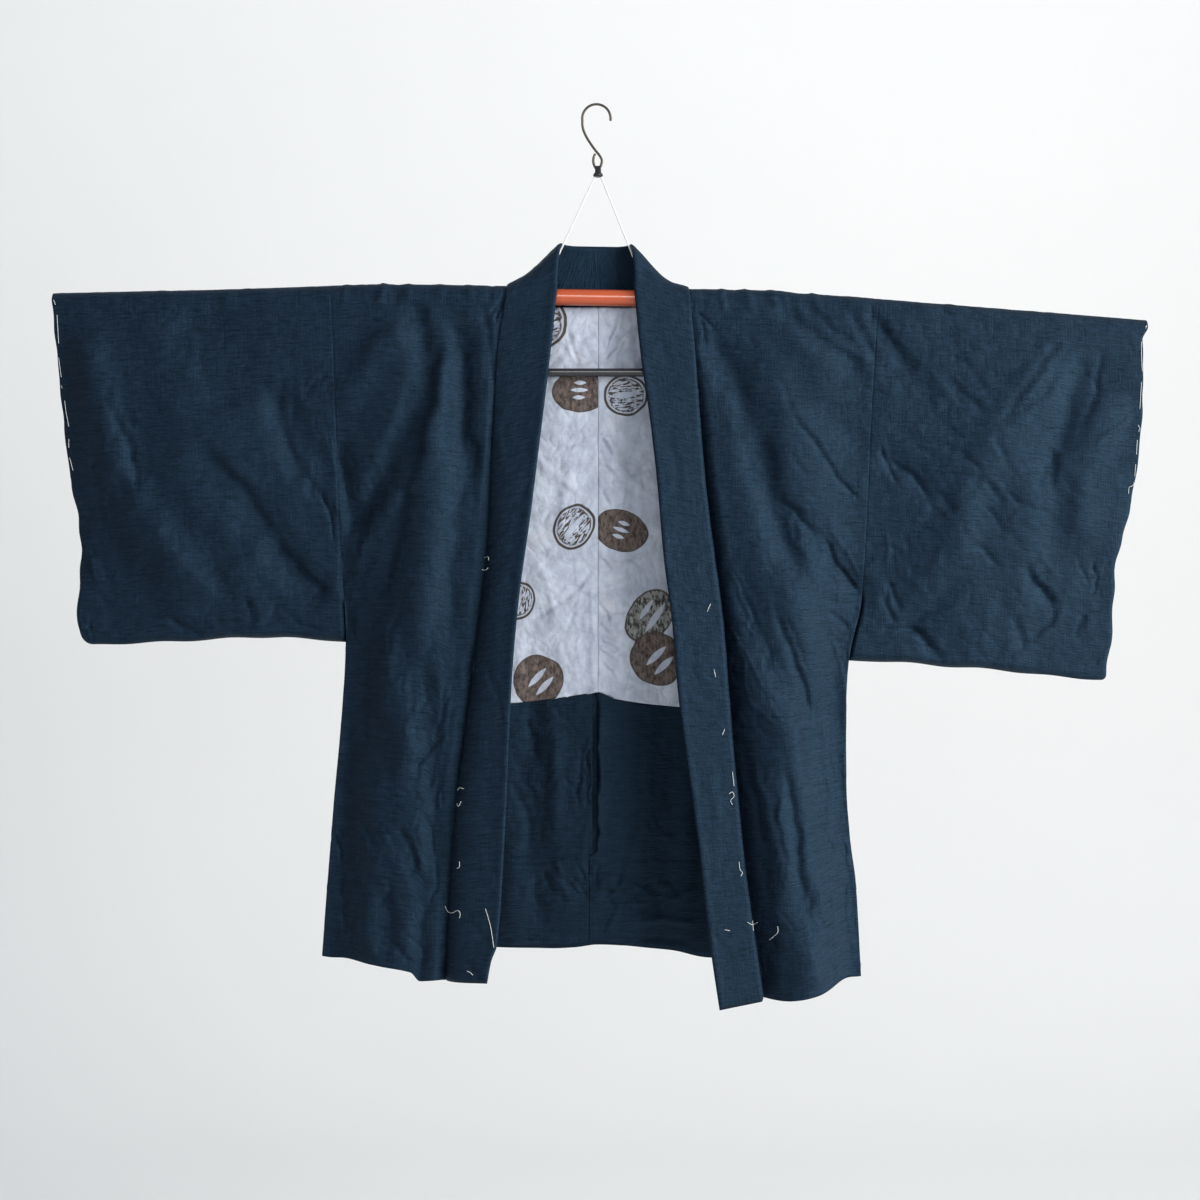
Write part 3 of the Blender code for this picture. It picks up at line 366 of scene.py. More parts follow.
# Sleeves, from the armhole out to the cuff
CUFF_EDGE = sided(  # z, x, front y, back y
    right=(
        (-237, -652.6, -11.8, 13), (-259, -650.2, -13, 13), (-342, -644.2, -13, 11),
        (-450, -633.4, -7, 7), (-498, -623.9, -4, 5), (-534, -620.5, -4, 4), (-617, -625.1, -4, 4),
        (-649, -619, -4, 4),
    ),
    left=(
        (-270, 657, -11.8, 13), (-283, 650.5, -13, 13), (-330, 650.2, -13, 12),
        (-402, 646.6, -11, 9), (-474, 638.2, -6, 7), (-522, 627.5, -4, 5), (-546, 620.3, -4, 4),
        (-641, 614.3, -4, 4), (-688, 607, -4, 4),
    ),
)
SLEEVE_CROWN = Table(  # share of the way down, front bow, back bow
    (0, 0, 0), (0.12, 4, 2), (0.35, 9, 5), (0.6, 12, 6), (0.85, 7, 4), (1, 2, 2),
)
SLEEVE_HEM = sided(  # x, z
    right=((-625, -648), (-567, -645), (-477, -639), (-387, -637.8), (-327, -643), (-301, -644)),
    left=(
        (301, -665.3), (362, -667.7), (422, -673.7), (482, -677.3), (542, -683.3), (602, -687),
        (615, -687.8),
    ),
)
SLEEVE_CORNER_X = {"right": (-301, -619), "left": (301, 607)}
SLEEVE_CORNER_ROUND = {"right": 12, "left": 5}
SLEEVE_MIDDLE_X, SLEEVE_ROUND = 460, 9
SLEEVE_HALF_GAP = 1.4
CUFF_SHUT_BELOW = {"right": -452, "left": -480}
ARMHOLE_SHUT_BELOW = {"right": -600, "left": -592}
SHUT_END_INSET, SHUT_BLEND = 0.7, 8
EDGE_RADIUS = 5
CUFF_WOBBLE, CUFF_WAVE = 1, 80

# Seams and the collar
ROLL_DROP, ROLL_SPREAD = 0.5, 2.6
SEAM_TUCK, TUCK_REACH = 0.9, 4
COLLAR_DIP = sided(  # z, depth at the seam, reach of the hollow in the front beside it
    right=((-229, 0.3, 5), (-400, 1.6, 9), (-700, 4, 13), (-1040, 5, 16)),
    left=(
        (-233, 0.4, 5), (-310, 4, 8), (-400, 10, 14), (-600, 15, 20), (-800, 19, 40),
        (-1060, 21, 56),
    ),
)
COLLAR_SET_BACK = sided(  # z, how far the free edge is set back
    right=((-220, 0), (-330, -2), (-700, -3), (-1060, 2)),
    left=((-220, 0), (-400, 2), (-700, 6), (-1060, 9)),
)
COLLAR_LIFT, COLLAR_LIFT_SPREAD = {"right": 11, "left": 8}, {"right": 32, "left": 4}
LIFT_BLEND, FACE_LEVEL_Z = 350, -250
COLLAR_CLEARANCE, COLLAR_TUCK_IN = 1, 0.6
COLLAR_HALF, COLLAR_PLUMP, PLUMP_PLACE, PLUMP_SPREAD = 1.7, 0.35, 5, 4
COLLAR_EDGE_ROUND, COLLAR_SEAM_ROUND, COLLAR_CALM_EDGE = 2.6, 2, 12
COLLAR_CRUMPLE, COLLAR_CRUMPLE_RUN = 0.7, 0.4

# The gussets, and the linings inside the back
GUSSET_TUCK, GUSSET_OPENING = 8, 120
GUSSET_LOW_Z = {"right": -1012, "left": -1034}
GUSSET_INSET, GUSSET_PLY, GUSSET_WOBBLE, GUSSET_WAVE = 0.8, 1, 0.5, 60
GUSSET_WIDTH = 60
LINING_SHARE = 11 / 12  # of the way from the centre out to the side edge
LINING_TOP_Z, LINING_LOW_Z, FACING_TOP_Z = -241, -1000, -860
LINING_STAND, LINING_GIVE = 3.8, 2.6
LINING_WRINKLE, LINING_CRUMPLE = 1.35, 1.3
LINING_SEAM_GAP, LINING_SEAM_FALL, LINING_SEAM_REACH = 0.02, 1.6, 0.5
LINING_EDGE = Table(  # x, z of the lining's lower edge
    (-292, -728), (-105, -717.6), (-12, -706.7), (0, -704.5), (21.7, -712.8), (101, -722.4),
    (292, -732),
)
FACING_TUCK, FACING_HEM_RISE = 0.4, 4
SLIT = sided(  # z, x of the two edges of the slit and of the seam below it
    right=((-903, -11.2), (-896, -7), (-690, -6.6)),
    left=((-903, -10.8), (-896, -0.8), (-690, -0.6)),
)

# Walls and grid divisions
OUTER_WALL, LINING_WALL = 1.2, 0.8
BODY_COLUMNS, FRONT_ROWS, WRAP_ROWS, BACK_ROWS = 92, 310, 15, 120
SLEEVE_COLUMNS, SLEEVE_ROWS, SLEEVE_TURN_ROWS = 120, 140, 7
COLLAR_COLUMNS, COLLAR_ROWS, COLLAR_NECK_ROWS = 28, 190, 48
GUSSET_COLUMNS, GUSSET_ROWS = 16, 100
LINING_GRID, FACING_GRID = (84, 190), (90, 120)
COLLAR_PULL, INNER_PULL = 0.7, 0.5  # how far the columns draw to both edges

# How far out each piece's map of the cloth lies, so that no two show the same weave
LEFT_BODY_SHIFT, SLEEVE_SHIFT, COLLAR_SHIFT, FACING_SHIFT = 900, (1900, 400), 3100, 600
LINING_SHIFT = {"right": 0, "left": 500}

FRONT_FOLD_ROWS = (  # x, z of a line with one bend, spread, height above 0 or depth below
    # right front, from the shoulder down
    (-226, -245, -270, -305, -315, -375, 30, 5.1), (-203, -240, -206, -345, -298, -540, 28, -8.5),
    (-189, -262, -195, -506, -228, -700, 42, 6.8), (-158, -245, -164, -397, -144, -470, 24, -6),
    (-262, -610, -240, -720, -216, -820, 32, 4.8), (-192, -760, -190, -900, -217, -1060, 24, -5.4),
    (-268, -720, -272, -900, -274, -1060, 32, 4.2), (-202, -880, -196, -960, -194, -1080, 20, 4.2),
    (-300, -660, -300, -800, -306, -960, 26, -3),
    # left front
    (136, -262, 190, -385, 238, -590, 36, -5), (190, -236, 236, -272, 290, -325, 32, 2.9),
    (216, -318, 262, -362, 330, -425, 26, -2.5), (216, -470, 262, -520, 330, -612, 28, -3.8),
    (152, -540, 202, -657, 262, -745, 24, -2.9), (172, -620, 192, -700, 228, -770, 24, 2.5),
    (266, -770, 268, -900, 268, -1080, 38, 3.8), (231, -770, 238, -890, 246, -1010, 24, -3.4),
    # right sleeve
    (-590, -290, -556, -500, -465, -580, 40, 4.4), (-498, -330, -486, -430, -476, -520, 90, 4.4),
    (-384, -325, -360, -396, -305, -465, 28, -5), (-420, -455, -362, -560, -300, -600, 30, -4.4),
    (-440, -540, -410, -600, -400, -660, 30, 2.8),
    # left sleeve
    (566, -262, 476, -390, 380, -630, 36, 3.4), (606, -262, 574, -415, 532, -590, 42, -4.6),
    (618, -420, 616, -500, 610, -560, 28, 2.3), (330, -408, 380, -452, 432, -496, 24, -2.7),
    (440, -540, 408, -584, 370, -640, 28, -2.7), (512, -560, 500, -620, 496, -690, 28, 2.3),
)
BACK_FOLD_ROWS = (  # the same, where a height above 0 stands out behind
    (-240, -250, -236, -420, -205, -640, 40, 5.6), (-170, -250, -180, -500, -172, -800, 34, -4.8),
    (-276, -380, -250, -560, -262, -820, 34, 4.8), (-70, -560, -84, -760, -66, -1040, 30, 4),
    (-232, -760, -220, -900, -226, -1080, 34, -4.8),
    (-140, -820, -132, -920, -136, -1080, 30, 4.8), (232, -262, 222, -450, 190, -640, 40, 6.4),
    (160, -262, 172, -500, 160, -820, 34, -4.8), (262, -400, 246, -600, 268, -830, 34, 4.8),
    (70, -640, 86, -800, 74, -1050, 30, 4), (218, -760, 210, -900, 222, -1080, 32, -4.8),
    (128, -820, 136, -930, 132, -1080, 30, 4.8), (-384, -300, -352, -420, -300, -500, 34, -6.4),
    (-560, -290, -520, -430, -440, -570, 48, 6.4), (-600, -300, -590, -440, -560, -560, 40, -5.6),
    (-420, -420, -372, -540, -310, -600, 32, -4.8), (392, -310, 366, -430, 320, -500, 34, -6.4),
    (560, -300, 520, -450, 440, -600, 48, 6.4), (604, -310, 590, -450, 566, -600, 40, -6.4),
    (430, -440, 384, -560, 322, -600, 32, -4.8),
)
FOLDS = {way: [(*row[:7], row[6], row[7], 0) for row in rows]
         for way, rows in ((FRONT, FRONT_FOLD_ROWS), (BACK, BACK_FOLD_ROWS))}
FRONT_CREASES = (  # x, z of a line with one bend, reach right and left, height, sharpness
    # right front, from the shoulder down
    (-125, -232, -134, -367, -142, -510, 9, 13, 2.1, 0.2),
    (-140, -474, -155, -623, -164, -730, 10, 13, 1.3, 0.2),
    (-162, -700, -176, -796, -190, -885, 10, 13, 1.5, 0.2),
    (-188, -867, -188, -927, -198, -991, 14, 12, 1.1, 0.2),
    (-113, -217, -117, -236, -121, -265, 3.5, 3.5, -2, 0.75),
    (-106, -215, -109, -236, -113, -263, 3.5, 3.5, 0.8, 0.65),
    (-281, -420, -264, -434, -253, -459, 3.5, 3.5, 0.8, 0.85),
    (-259, -472, -274, -516, -292, -562, 9, 10, 1.5, 0.4),
    (-256, -608, -263, -621, -271, -634, 4.2, 4.2, -1.3, 0.65),
    (-230, -597, -246, -629, -246, -665, 5.6, 5.6, -1.8, 0.65),
    (-280, -746, -294, -758, -305, -772, 3.2, 3.5, 0.7, 0.95),
    (-220, -677, -221, -722, -208, -760, 5.6, 4.2, -1.5, 0.75),
    (-183, -689, -184, -736, -198, -765, 5.6, 4.9, -1.9, 0.75),
    (-195, -758, -209, -774, -218, -800, 5.6, 4.2, -2.9, 0.95),
    (-190, -767, -205, -784, -212, -808, 3.5, 4.9, 0.9, 0.75),
    (-173, -696, -178, -736, -184, -770, 4.9, 5.6, 1.1, 0.65),
    (-234, -853, -225, -879, -212, -910, 4.9, 3.5, -2.1, 0.85),
    (-211, -836, -196, -862, -189, -898, 5.6, 4.2, -2.1, 0.75),
    (-189, -891, -188, -924, -202, -950, 5.6, 4.2, -2.1, 0.85),
    (-207, -934, -212, -992, -214, -1060, 6, 24, 1.5, 0.5),
    (-301, -877, -287, -897, -271, -917, 3.5, 3.5, 0.8, 0.95),
    (-247, -877, -257, -898, -270, -917, 3.5, 3.5, 0.8, 0.95),
    (-269, -912, -271, -962, -275, -1022, 8, 12, 1, 0.6),
    (-296, -912, -282, -916, -267, -918, 3.2, 3.2, -1.4, 0.75),
    (-309, -953, -305, -980, -301, -1010, 4.2, 5.6, 1, 0.65),
    (-284, -938, -288, -974, -293, -1010, 4.9, 4.9, -1.8, 0.55),
    (-294, -1002, -274, -1013, -252, -1033, 4.2, 4.2, 1.1, 0.65),
    (-250, -985, -236, -1000, -217, -1022, 5.6, 5.6, -2.1, 0.65),
    # left front, from the shoulder down
    (271, -503, 296, -536, 317, -572, 4.2, 5.6, 1.1, 0.65),
    (154, -541, 179, -589, 201, -637, 4.9, 4.9, 1, 0.85),
    (179, -599, 200, -636, 215, -689, 4.2, 4.2, 0.9, 0.85),
    (258, -754, 262, -891, 264, -1028, 10, 16, 1, 0.4),
    (186, -810, 192, -839, 196, -877, 3.5, 3.5, 0.8, 0.85),
    (276, -771, 287, -789, 298, -811, 3.5, 3.5, 0.8, 0.85),
    (273, -841, 281, -862, 287, -886, 3.5, 3.5, 0.6, 0.75),
    (209, -927, 214, -986, 212, -1072, 12, 14, 1.1, 0.2),
    (269, -927, 274, -986, 271, -1058, 12, 14, -1.4, 0.2),
    (294, -921, 299, -968, 301, -1024, 5.6, 5.6, 0.8, 0.45),
    # left sleeve, front
    (568, -254, 524, -327, 478, -384, 14, 12, 1.5, 0.6),
    (481, -379, 470, -411, 512, -451, 5.6, 5.6, 1.6, 0.85),
    (576, -280, 543, -340, 524, -389, 9, 9, 1.2, 0.6),
    (516, -649, 543, -624, 574, -560, 7, 9, 1.2, 0.7),
    (511, -579, 518, -605, 525, -634, 3.2, 3.2, 0.8, 0.95),
    (520, -561, 533, -584, 545, -605, 4.2, 4.2, -2.1, 0.85),
    (408, -322, 425, -344, 443, -365, 3.5, 3.5, -1.3, 0.85),
    (424, -403, 443, -420, 462, -439, 3.2, 3.2, 0.7, 0.95),
    (361, -434, 380, -454, 397, -479, 3.5, 3.5, -1.8, 0.95),
    (365, -427, 384, -443, 403, -465, 3.2, 3.2, 0.7, 0.85),
    (331, -402, 346, -429, 356, -458, 3.5, 3.5, 0.9, 0.95),
    (440, -446, 455, -461, 433, -479, 3.2, 3.2, -1.2, 0.95),
    (459, -523, 471, -541, 483, -560, 3.5, 3.5, -1.5, 0.85),
    (296, -241, 314, -272, 338, -315, 10, 10, -2.1, 0.3),
    (319, -234, 345, -272, 393, -344, 12, 12, 0.8, 0.3),
    (342, -566, 346, -593, 355, -626, 3.5, 4.2, -1.5, 0.75),
    (414, -571, 393, -596, 371, -624, 12, 10, 1, 0.4),
    (338, -651, 374, -645, 417, -668, 4.2, 4.2, -2.1, 0.75),
    (471, -576, 465, -617, 459, -665, 8, 9, 0.9, 0.4),
    (395, -472, 415, -491, 433, -512, 3.5, 3.5, 0.6, 0.75),
    (476, -448, 490, -465, 507, -484, 3.5, 3.5, -1, 0.75),
    (588, -582, 593, -612, 588, -653, 10, 12, 0.6, 0.3),
    # right sleeve, front
    (-585, -346, -587, -361, -591, -380, 3.2, 3.2, 0.8, 0.95),
    (-580, -365, -564, -379, -555, -401, 3.2, 3.5, 0.8, 0.95),
    (-555, -396, -557, -410, -565, -421, 3.2, 3.2, 0.7, 0.95),
    (-560, -440, -552, -460, -545, -485, 3.5, 4.2, 1.1, 0.95),
    (-549, -480, -526, -515, -500, -543, 9, 12, 0.9, 0.5),
    (-505, -536, -476, -570, -452, -598, 9, 12, 0.8, 0.4),
    (-330, -459, -321, -491, -314, -527, 5.6, 4.2, -2.1, 0.65),
    (-326, -332, -339, -349, -353, -368, 4.2, 4.2, 0.8, 0.65),
    (-426, -592, -418, -617, -409, -641, 4.9, 3.5, -1.8, 0.75),
    (-513, -608, -501, -623, -486, -641, 4.2, 4.2, -1.7, 0.75),
    (-412, -579, -400, -596, -390, -620, 4.2, 4.2, 0.8, 0.65),
    (-378, -609, -355, -622, -319, -637, 4.9, 4.9, -2.1, 0.55),
    (-612, -522, -595, -548, -578, -582, 8, 9, -1.6, 0.4),
    (-597, -582, -578, -598, -552, -612, 5.6, 5.6, 0.9, 0.55),
    (-464, -617, -457, -631, -447, -646, 4.9, 4.9, 0.8, 0.55),
    # long folds and creases
    (-214, -232, -212, -266, -207, -305, 15, 30, -5, 0.2),
    (-188, -270, -201, -355, -228, -468, 11, 24, -3.6, 0.2),
    (-184, -284, -195, -355, -221, -474, 24, 10, 2.4, 0.2),
    (-226, -439, -240, -522, -258, -598, 12, 22, -4, 0.2),
    (-174, -236, -163, -344, -163, -448, 20, 30, -5.6, 0.1),
    (-163, -421, -174, -546, -180, -653, 16, 24, -3.5, 0.1),
    (-311, -393, -301, -462, -290, -522, 22, 12, -6.5, 0.1),
    (-293, -460, -276, -480, -256, -498, 5, 9, 1.6, 0.4),
    (-307, -522, -302, -593, -300, -653, 16, 6, -4, 0.2),
    (-286, -546, -262, -498, -233, -451, 26, 16, 3.5, 0.1),
    (-242, -593, -250, -665, -259, -746, 20, 26, 4, 0.1),
    (-205, -641, -198, -750, -212, -849, 18, 26, -5, 0.1),
    (-183, -749, -198, -770, -215, -792, 4, 6, -2.2, 0.7),
    (-237, -853, -220, -897, -200, -938, 13, 22, -4.5, 0.1),
    (-253, -927, -244, -968, -243, -1016, 18, 28, -4.5, 0.1),
    (-130, -253, -117, -236, -102, -216, 5, 9, -3, 0.4),
    (-137, -236, -130, -272, -127, -344, 9, 12, -2.5, 0.3),
    (-283, -700, -276, -736, -269, -770, 9, 16, -3, 0.3),
    (-293, -831, -276, -855, -259, -891, 6, 10, -2.6, 0.5),
    (-288, -905, -281, -927, -269, -950, 5, 9, -2.2, 0.6),
    (-152, -641, -138, -712, -119, -784, 10, 14, -2, 0.2),
    (-307, -915, -302, -950, -293, -986, 8, 12, -2.4, 0.4),
    (-276, -1010, -255, -998, -231, -1012, 5, 7, 2, 0.6),
    (131, -263, 167, -348, 189, -398, 18, 26, -3.6, 0.1),
    (183, -379, 209, -483, 238, -584, 24, 40, -7.5, 0.1),
    (228, -363, 250, -397, 314, -482, 4, 9, -3.2, 0.7),
    (219, -332, 225, -353, 233, -372, 3.6, 7, -1.8, 0.7),
    (228, -410, 236, -429, 248, -448, 3.6, 7, -1.6, 0.7),
    (213, -468, 239, -495, 262, -516, 5, 10, -4.6, 0.7),
    (224, -489, 233, -501, 240, -517, 3.6, 6, -1.8, 0.7),
    (264, -516, 288, -553, 313, -589, 5, 10, -5, 0.7),
    (205, -233, 267, -286, 331, -330, 13, 20, -3.6, 0.2),
    (240, -236, 283, -272, 328, -298, 9, 14, -2, 0.3),
    (114, -246, 127, -259, 142, -272, 4, 7, -2.4, 0.6),
    (118, -258, 125, -272, 129, -291, 4, 5, -1.6, 0.6),
    (276, -601, 288, -615, 300, -629, 4.5, 9, -2.6, 0.6),
    (208, -596, 228, -653, 255, -734, 6, 13, -4, 0.6),
    (224, -608, 233, -641, 248, -674, 4, 7, -1.8, 0.7),
    (151, -617, 174, -655, 221, -749, 3.6, 3.6, 1.7, 0.8),
    (156, -623, 174, -667, 174, -715, 3.6, 3.6, 1.5, 0.8),
    (174, -712, 195, -727, 223, -749, 3.6, 3.6, 1.5, 0.8),
    (157, -555, 171, -593, 188, -634, 3.6, 4.5, 1.5, 0.8),
    (226, -708, 240, -843, 248, -956, 22, 55, 9, 0.1),
    (218, -778, 233, -867, 240, -956, 9, 16, -4, 0.3),
    (182, -774, 199, -843, 214, -917, 8, 10, 1.8, 0.3),
    (167, -743, 188, -831, 205, -968, 9, 12, -1.6, 0.3),
    (240, -950, 248, -1010, 267, -1058, 20, 40, 5, 0.1),
    (262, -705, 270, -780, 278, -893, 4.5, 8, 1.5, 0.6),
    (290, -762, 296, -808, 301, -867, 4, 7, 1.3, 0.6),
    (286, -660, 295, -712, 298, -760, 6, 12, 1.8, 0.4),
    (325, -253, 364, -308, 405, -363, 18, 40, -3.6, 0.1),
    (411, -323, 438, -346, 464, -377, 4.5, 9, -2.6, 0.6),
    (459, -438, 450, -455, 433, -476, 5, 8, -2.4, 0.6),
    (459, -438, 478, -459, 495, -477, 4, 6, 1.8, 0.7),
    (428, -411, 445, -429, 459, -441, 4, 8, -2.4, 0.7),
    (478, -460, 500, -474, 524, -485, 4, 7, -2.2, 0.7),
    (586, -414, 612, -391, 643, -370, 4, 6, 2.2, 0.6),
    (607, -286, 595, -344, 578, -393, 5, 9, -1.8, 0.5),
    (552, -417, 533, -439, 526, -467, 5, 9, -3, 0.6),
    (433, -598, 412, -608, 380, -620, 6, 7, 2.6, 0.5),
    (515, -561, 536, -582, 547, -601, 5, 10, -3.4, 0.6),
    (547, -601, 540, -620, 519, -639, 6, 9, -3, 0.6),
    (345, -567, 357, -591, 363, -608, 4, 8, -2.8, 0.6),
    (359, -620, 386, -634, 405, -655, 8, 12, -4, 0.4),
    (333, -629, 362, -627, 383, -634, 5, 8, -2.6, 0.5),
    (583, -290, 547, -403, 528, -474, 20, 40, -5, 0.1),
    (469, -427, 466, -510, 474, -589, 60, 40, -4, 0.1),
    (612, -332, 578, -429, 569, -541, 44, 34, 8, 0.1),
    (562, -273, 521, -327, 475, -390, 5, 10, -3.6, 0.5),
    (569, -310, 538, -353, 483, -391, 14, 8, 2.4, 0.3),
    (476, -389, 478, -410, 493, -439, 5, 8, -3.4, 0.6),
    (507, -546, 524, -574, 543, -605, 9, 14, -4, 0.3),
    (493, -608, 502, -629, 514, -653, 12, 16, -3, 0.3),
    (337, -407, 346, -429, 358, -457, 4, 7, -3, 0.7),
    (344, -423, 374, -442, 401, -477, 4.2, 7, -3.4, 0.7),
    (409, -462, 417, -474, 425, -489, 4, 7, -2.8, 0.7),
    (462, -448, 471, -460, 482, -477, 4, 7, -2.8, 0.7),
    (459, -477, 471, -491, 486, -517, 4, 7, -3, 0.7),
    (445, -522, 464, -536, 482, -555, 4, 7, -3, 0.7),
    (543, -403, 552, -421, 581, -410, 4, 5, 1.8, 0.6),
    (552, -417, 543, -441, 538, -465, 4, 5, -2, 0.6),
    (367, -620, 390, -641, 414, -665, 6, 9, -3, 0.4),
    (340, -582, 345, -601, 355, -624, 4, 7, -2.2, 0.6),
    (321, -236, 340, -272, 383, -322, 9, 16, -2.6, 0.3),
    (407, -290, 438, -310, 478, -367, 4, 7, -1.8, 0.6),
    (-612, -260, -590, -385, -562, -474, 34, 44, 9, 0),
    (-574, -443, -535, -503, -462, -610, 40, 64, 9, 0),
    (-482, -403, -426, -462, -386, -528, 16, 52, -7, 0),
    (-393, -516, -359, -562, -317, -593, 14, 40, -7, 0.1),
    (-388, -332, -380, -393, -345, -458, 14, 24, -5, 0.1),
    (-350, -448, -328, -474, -309, -493, 9, 14, -3, 0.2),
    (-581, -355, -566, -391, -550, -439, 4.5, 9, -3, 0.6),
    (-588, -348, -583, -365, -578, -384, 3.6, 6, -1.8, 0.7),
    (-559, -391, -552, -427, -547, -474, 4.5, 9, -3, 0.6),
    (-421, -589, -412, -605, -407, -624, 5, 9, -4.4, 0.6),
    (-431, -591, -419, -598, -407, -593, 3.6, 5, -2, 0.7),
    (-512, -610, -493, -624, -469, -634, 6, 10, -4.2, 0.5),
    (-486, -232, -468, -290, -440, -379, 110, 60, -7, 0),
    (-478, -298, -486, -310, -493, -320, 3.6, 5, 1.5, 0.7),
    (-352, -351, -340, -336, -321, -322, 4, 6, -2, 0.5),
    # where the cloth gathers over the crest
    (-257, -188, -257, -218, -262, -246, 8, 8, 3.2, 0.5),
    (-239, -188, -240, -218, -244, -250, 6, 6, -1.4, 0.5),
    (-227, -190, -227, -216, -226, -240, 7, 7, 2.2, 0.5),
    (-192, -190, -191, -216, -190, -240, 9, 9, 1.5, 0.4),
    (-154, -190, -153, -216, -152, -240, 8, 8, 1.7, 0.5),
    (-127, -190, -128, -216, -131, -240, 6, 6, -1.4, 0.5),
    (145, -196, 147, -224, 152, -252, 8, 8, 1.9, 0.5),
    (162, -196, 164, -224, 170, -252, 6, 6, -1.2, 0.5),
    (176, -196, 178, -224, 184, -256, 7, 7, 2, 0.5),
    (205, -196, 208, -226, 216, -258, 8, 8, 2.2, 0.5),
    (224, -198, 228, -228, 238, -262, 6, 6, -1.3, 0.5),
    (252, -200, 257, -228, 268, -258, 8, 8, 1.2, 0.5),
    (-300, -190, -302, -218, -306, -246, 8, 8, 1.2, 0.5),
    (-420, -190, -421, -222, -424, -246, 9, 9, 1, 0.5),
    (-520, -190, -522, -222, -526, -246, 10, 10, 0.9, 0.5),
    (420, -208, 422, -240, 428, -262, 9, 9, 1, 0.5),
    (540, -218, 542, -248, 548, -272, 10, 10, 1, 0.5),
    # the cuffs turn away, and the fronts swell beside the side seams
    (-652, -240, -645, -420, -625, -600, 40, 30, -8, 0),
    (205, -520, 232, -600, 268, -700, 26, 26, 3, 0),
)
COLLAR_CREASES = (
    (-159, -946, -143, -967, -128, -996, 5, 5, 1.3, 0.7),
    (-181, -1002, -157, -1010, -133, -1034, 5, 5, 1.6, 0.7),
    (-149, -877, -136, -891, -124, -908, 5, 5, -1.1, 0.6),
    (-138, -668, -119, -700, -108, -741, 5, 6, 1.1, 0.6),
    (-120, -379, -111, -415, -107, -474, 9, 9, -0.8, 0.3),
    (83, -379, 93, -439, 98, -510, 10, 10, 0.8, 0.3),
    (129, -784, 138, -831, 140, -891, 10, 10, -0.9, 0.3),
)
# Clusters of fine creases: x, z, half width and height, heading, spread, count, height
FRONT_CLUSTERS = (
    (-575, -395, 30, 90, -70, 25, 16, 0.9), (-480, -590, 60, 30, -35, 40, 14, 0.9),
    (-420, -600, 50, 30, -60, 50, 14, 1), (-480, -300, 110, 45, -20, 70, 18, 0.5),
    (-350, -420, 30, 110, -65, 20, 12, 0.8), (-610, -600, 20, 40, -50, 40, 8, 0.9),
    (420, -430, 70, 70, -40, 30, 26, 0.9), (380, -560, 60, 50, -50, 45, 16, 0.8),
    (520, -560, 60, 80, -65, 45, 22, 1), (500, -330, 90, 60, 35, 50, 16, 0.7),
    (590, -620, 30, 50, 40, 50, 12, 0.9), (400, -645, 80, 18, -15, 35, 10, 0.9),
    (-270, -450, 35, 60, -60, 25, 14, 0.8), (-240, -700, 50, 90, -80, 20, 18, 0.8),
    (-270, -910, 45, 70, -60, 40, 18, 0.9), (-200, -840, 25, 90, -85, 20, 12, 0.8),
    (-240, -1000, 60, 18, -30, 50, 10, 0.9), (230, -520, 50, 60, -55, 25, 20, 0.9),
    (290, -620, 22, 50, -60, 35, 10, 0.9), (200, -680, 40, 70, -65, 30, 20, 0.8),
    (230, -860, 40, 90, -82, 14, 18, 0.8), (275, -900, 25, 80, -85, 14, 12, 0.6),
    (170, -330, 40, 50, -60, 40, 14, 0.6),
)
LINING_CLUSTERS = (
    (-50, -610, 40, 60, -50, 40, 16, 0.5), (36, -640, 24, 50, -35, 25, 18, 0.8),
    (14, -430, 12, 70, -45, 25, 16, 0.8), (-50, -290, 40, 40, -60, 45, 14, 0.6),
    (50, -290, 36, 36, 60, 40, 16, 0.6), (60, -480, 40, 60, 30, 50, 12, 0.4),
    (-60, -450, 36, 60, -40, 50, 12, 0.5), (-4, -708, 16, 12, -40, 60, 14, 0.9),
)
FACING_CLUSTERS = (
    (60, -945, 50, 20, -30, 60, 24, 1.9), (-45, -940, 50, 30, -70, 30, 18, 1.5),
    (-6, -800, 10, 70, -85, 12, 12, 1.7), (70, -800, 50, 60, -75, 30, 12, 1),
    (-60, -800, 50, 60, -75, 30, 12, 1.1),
)
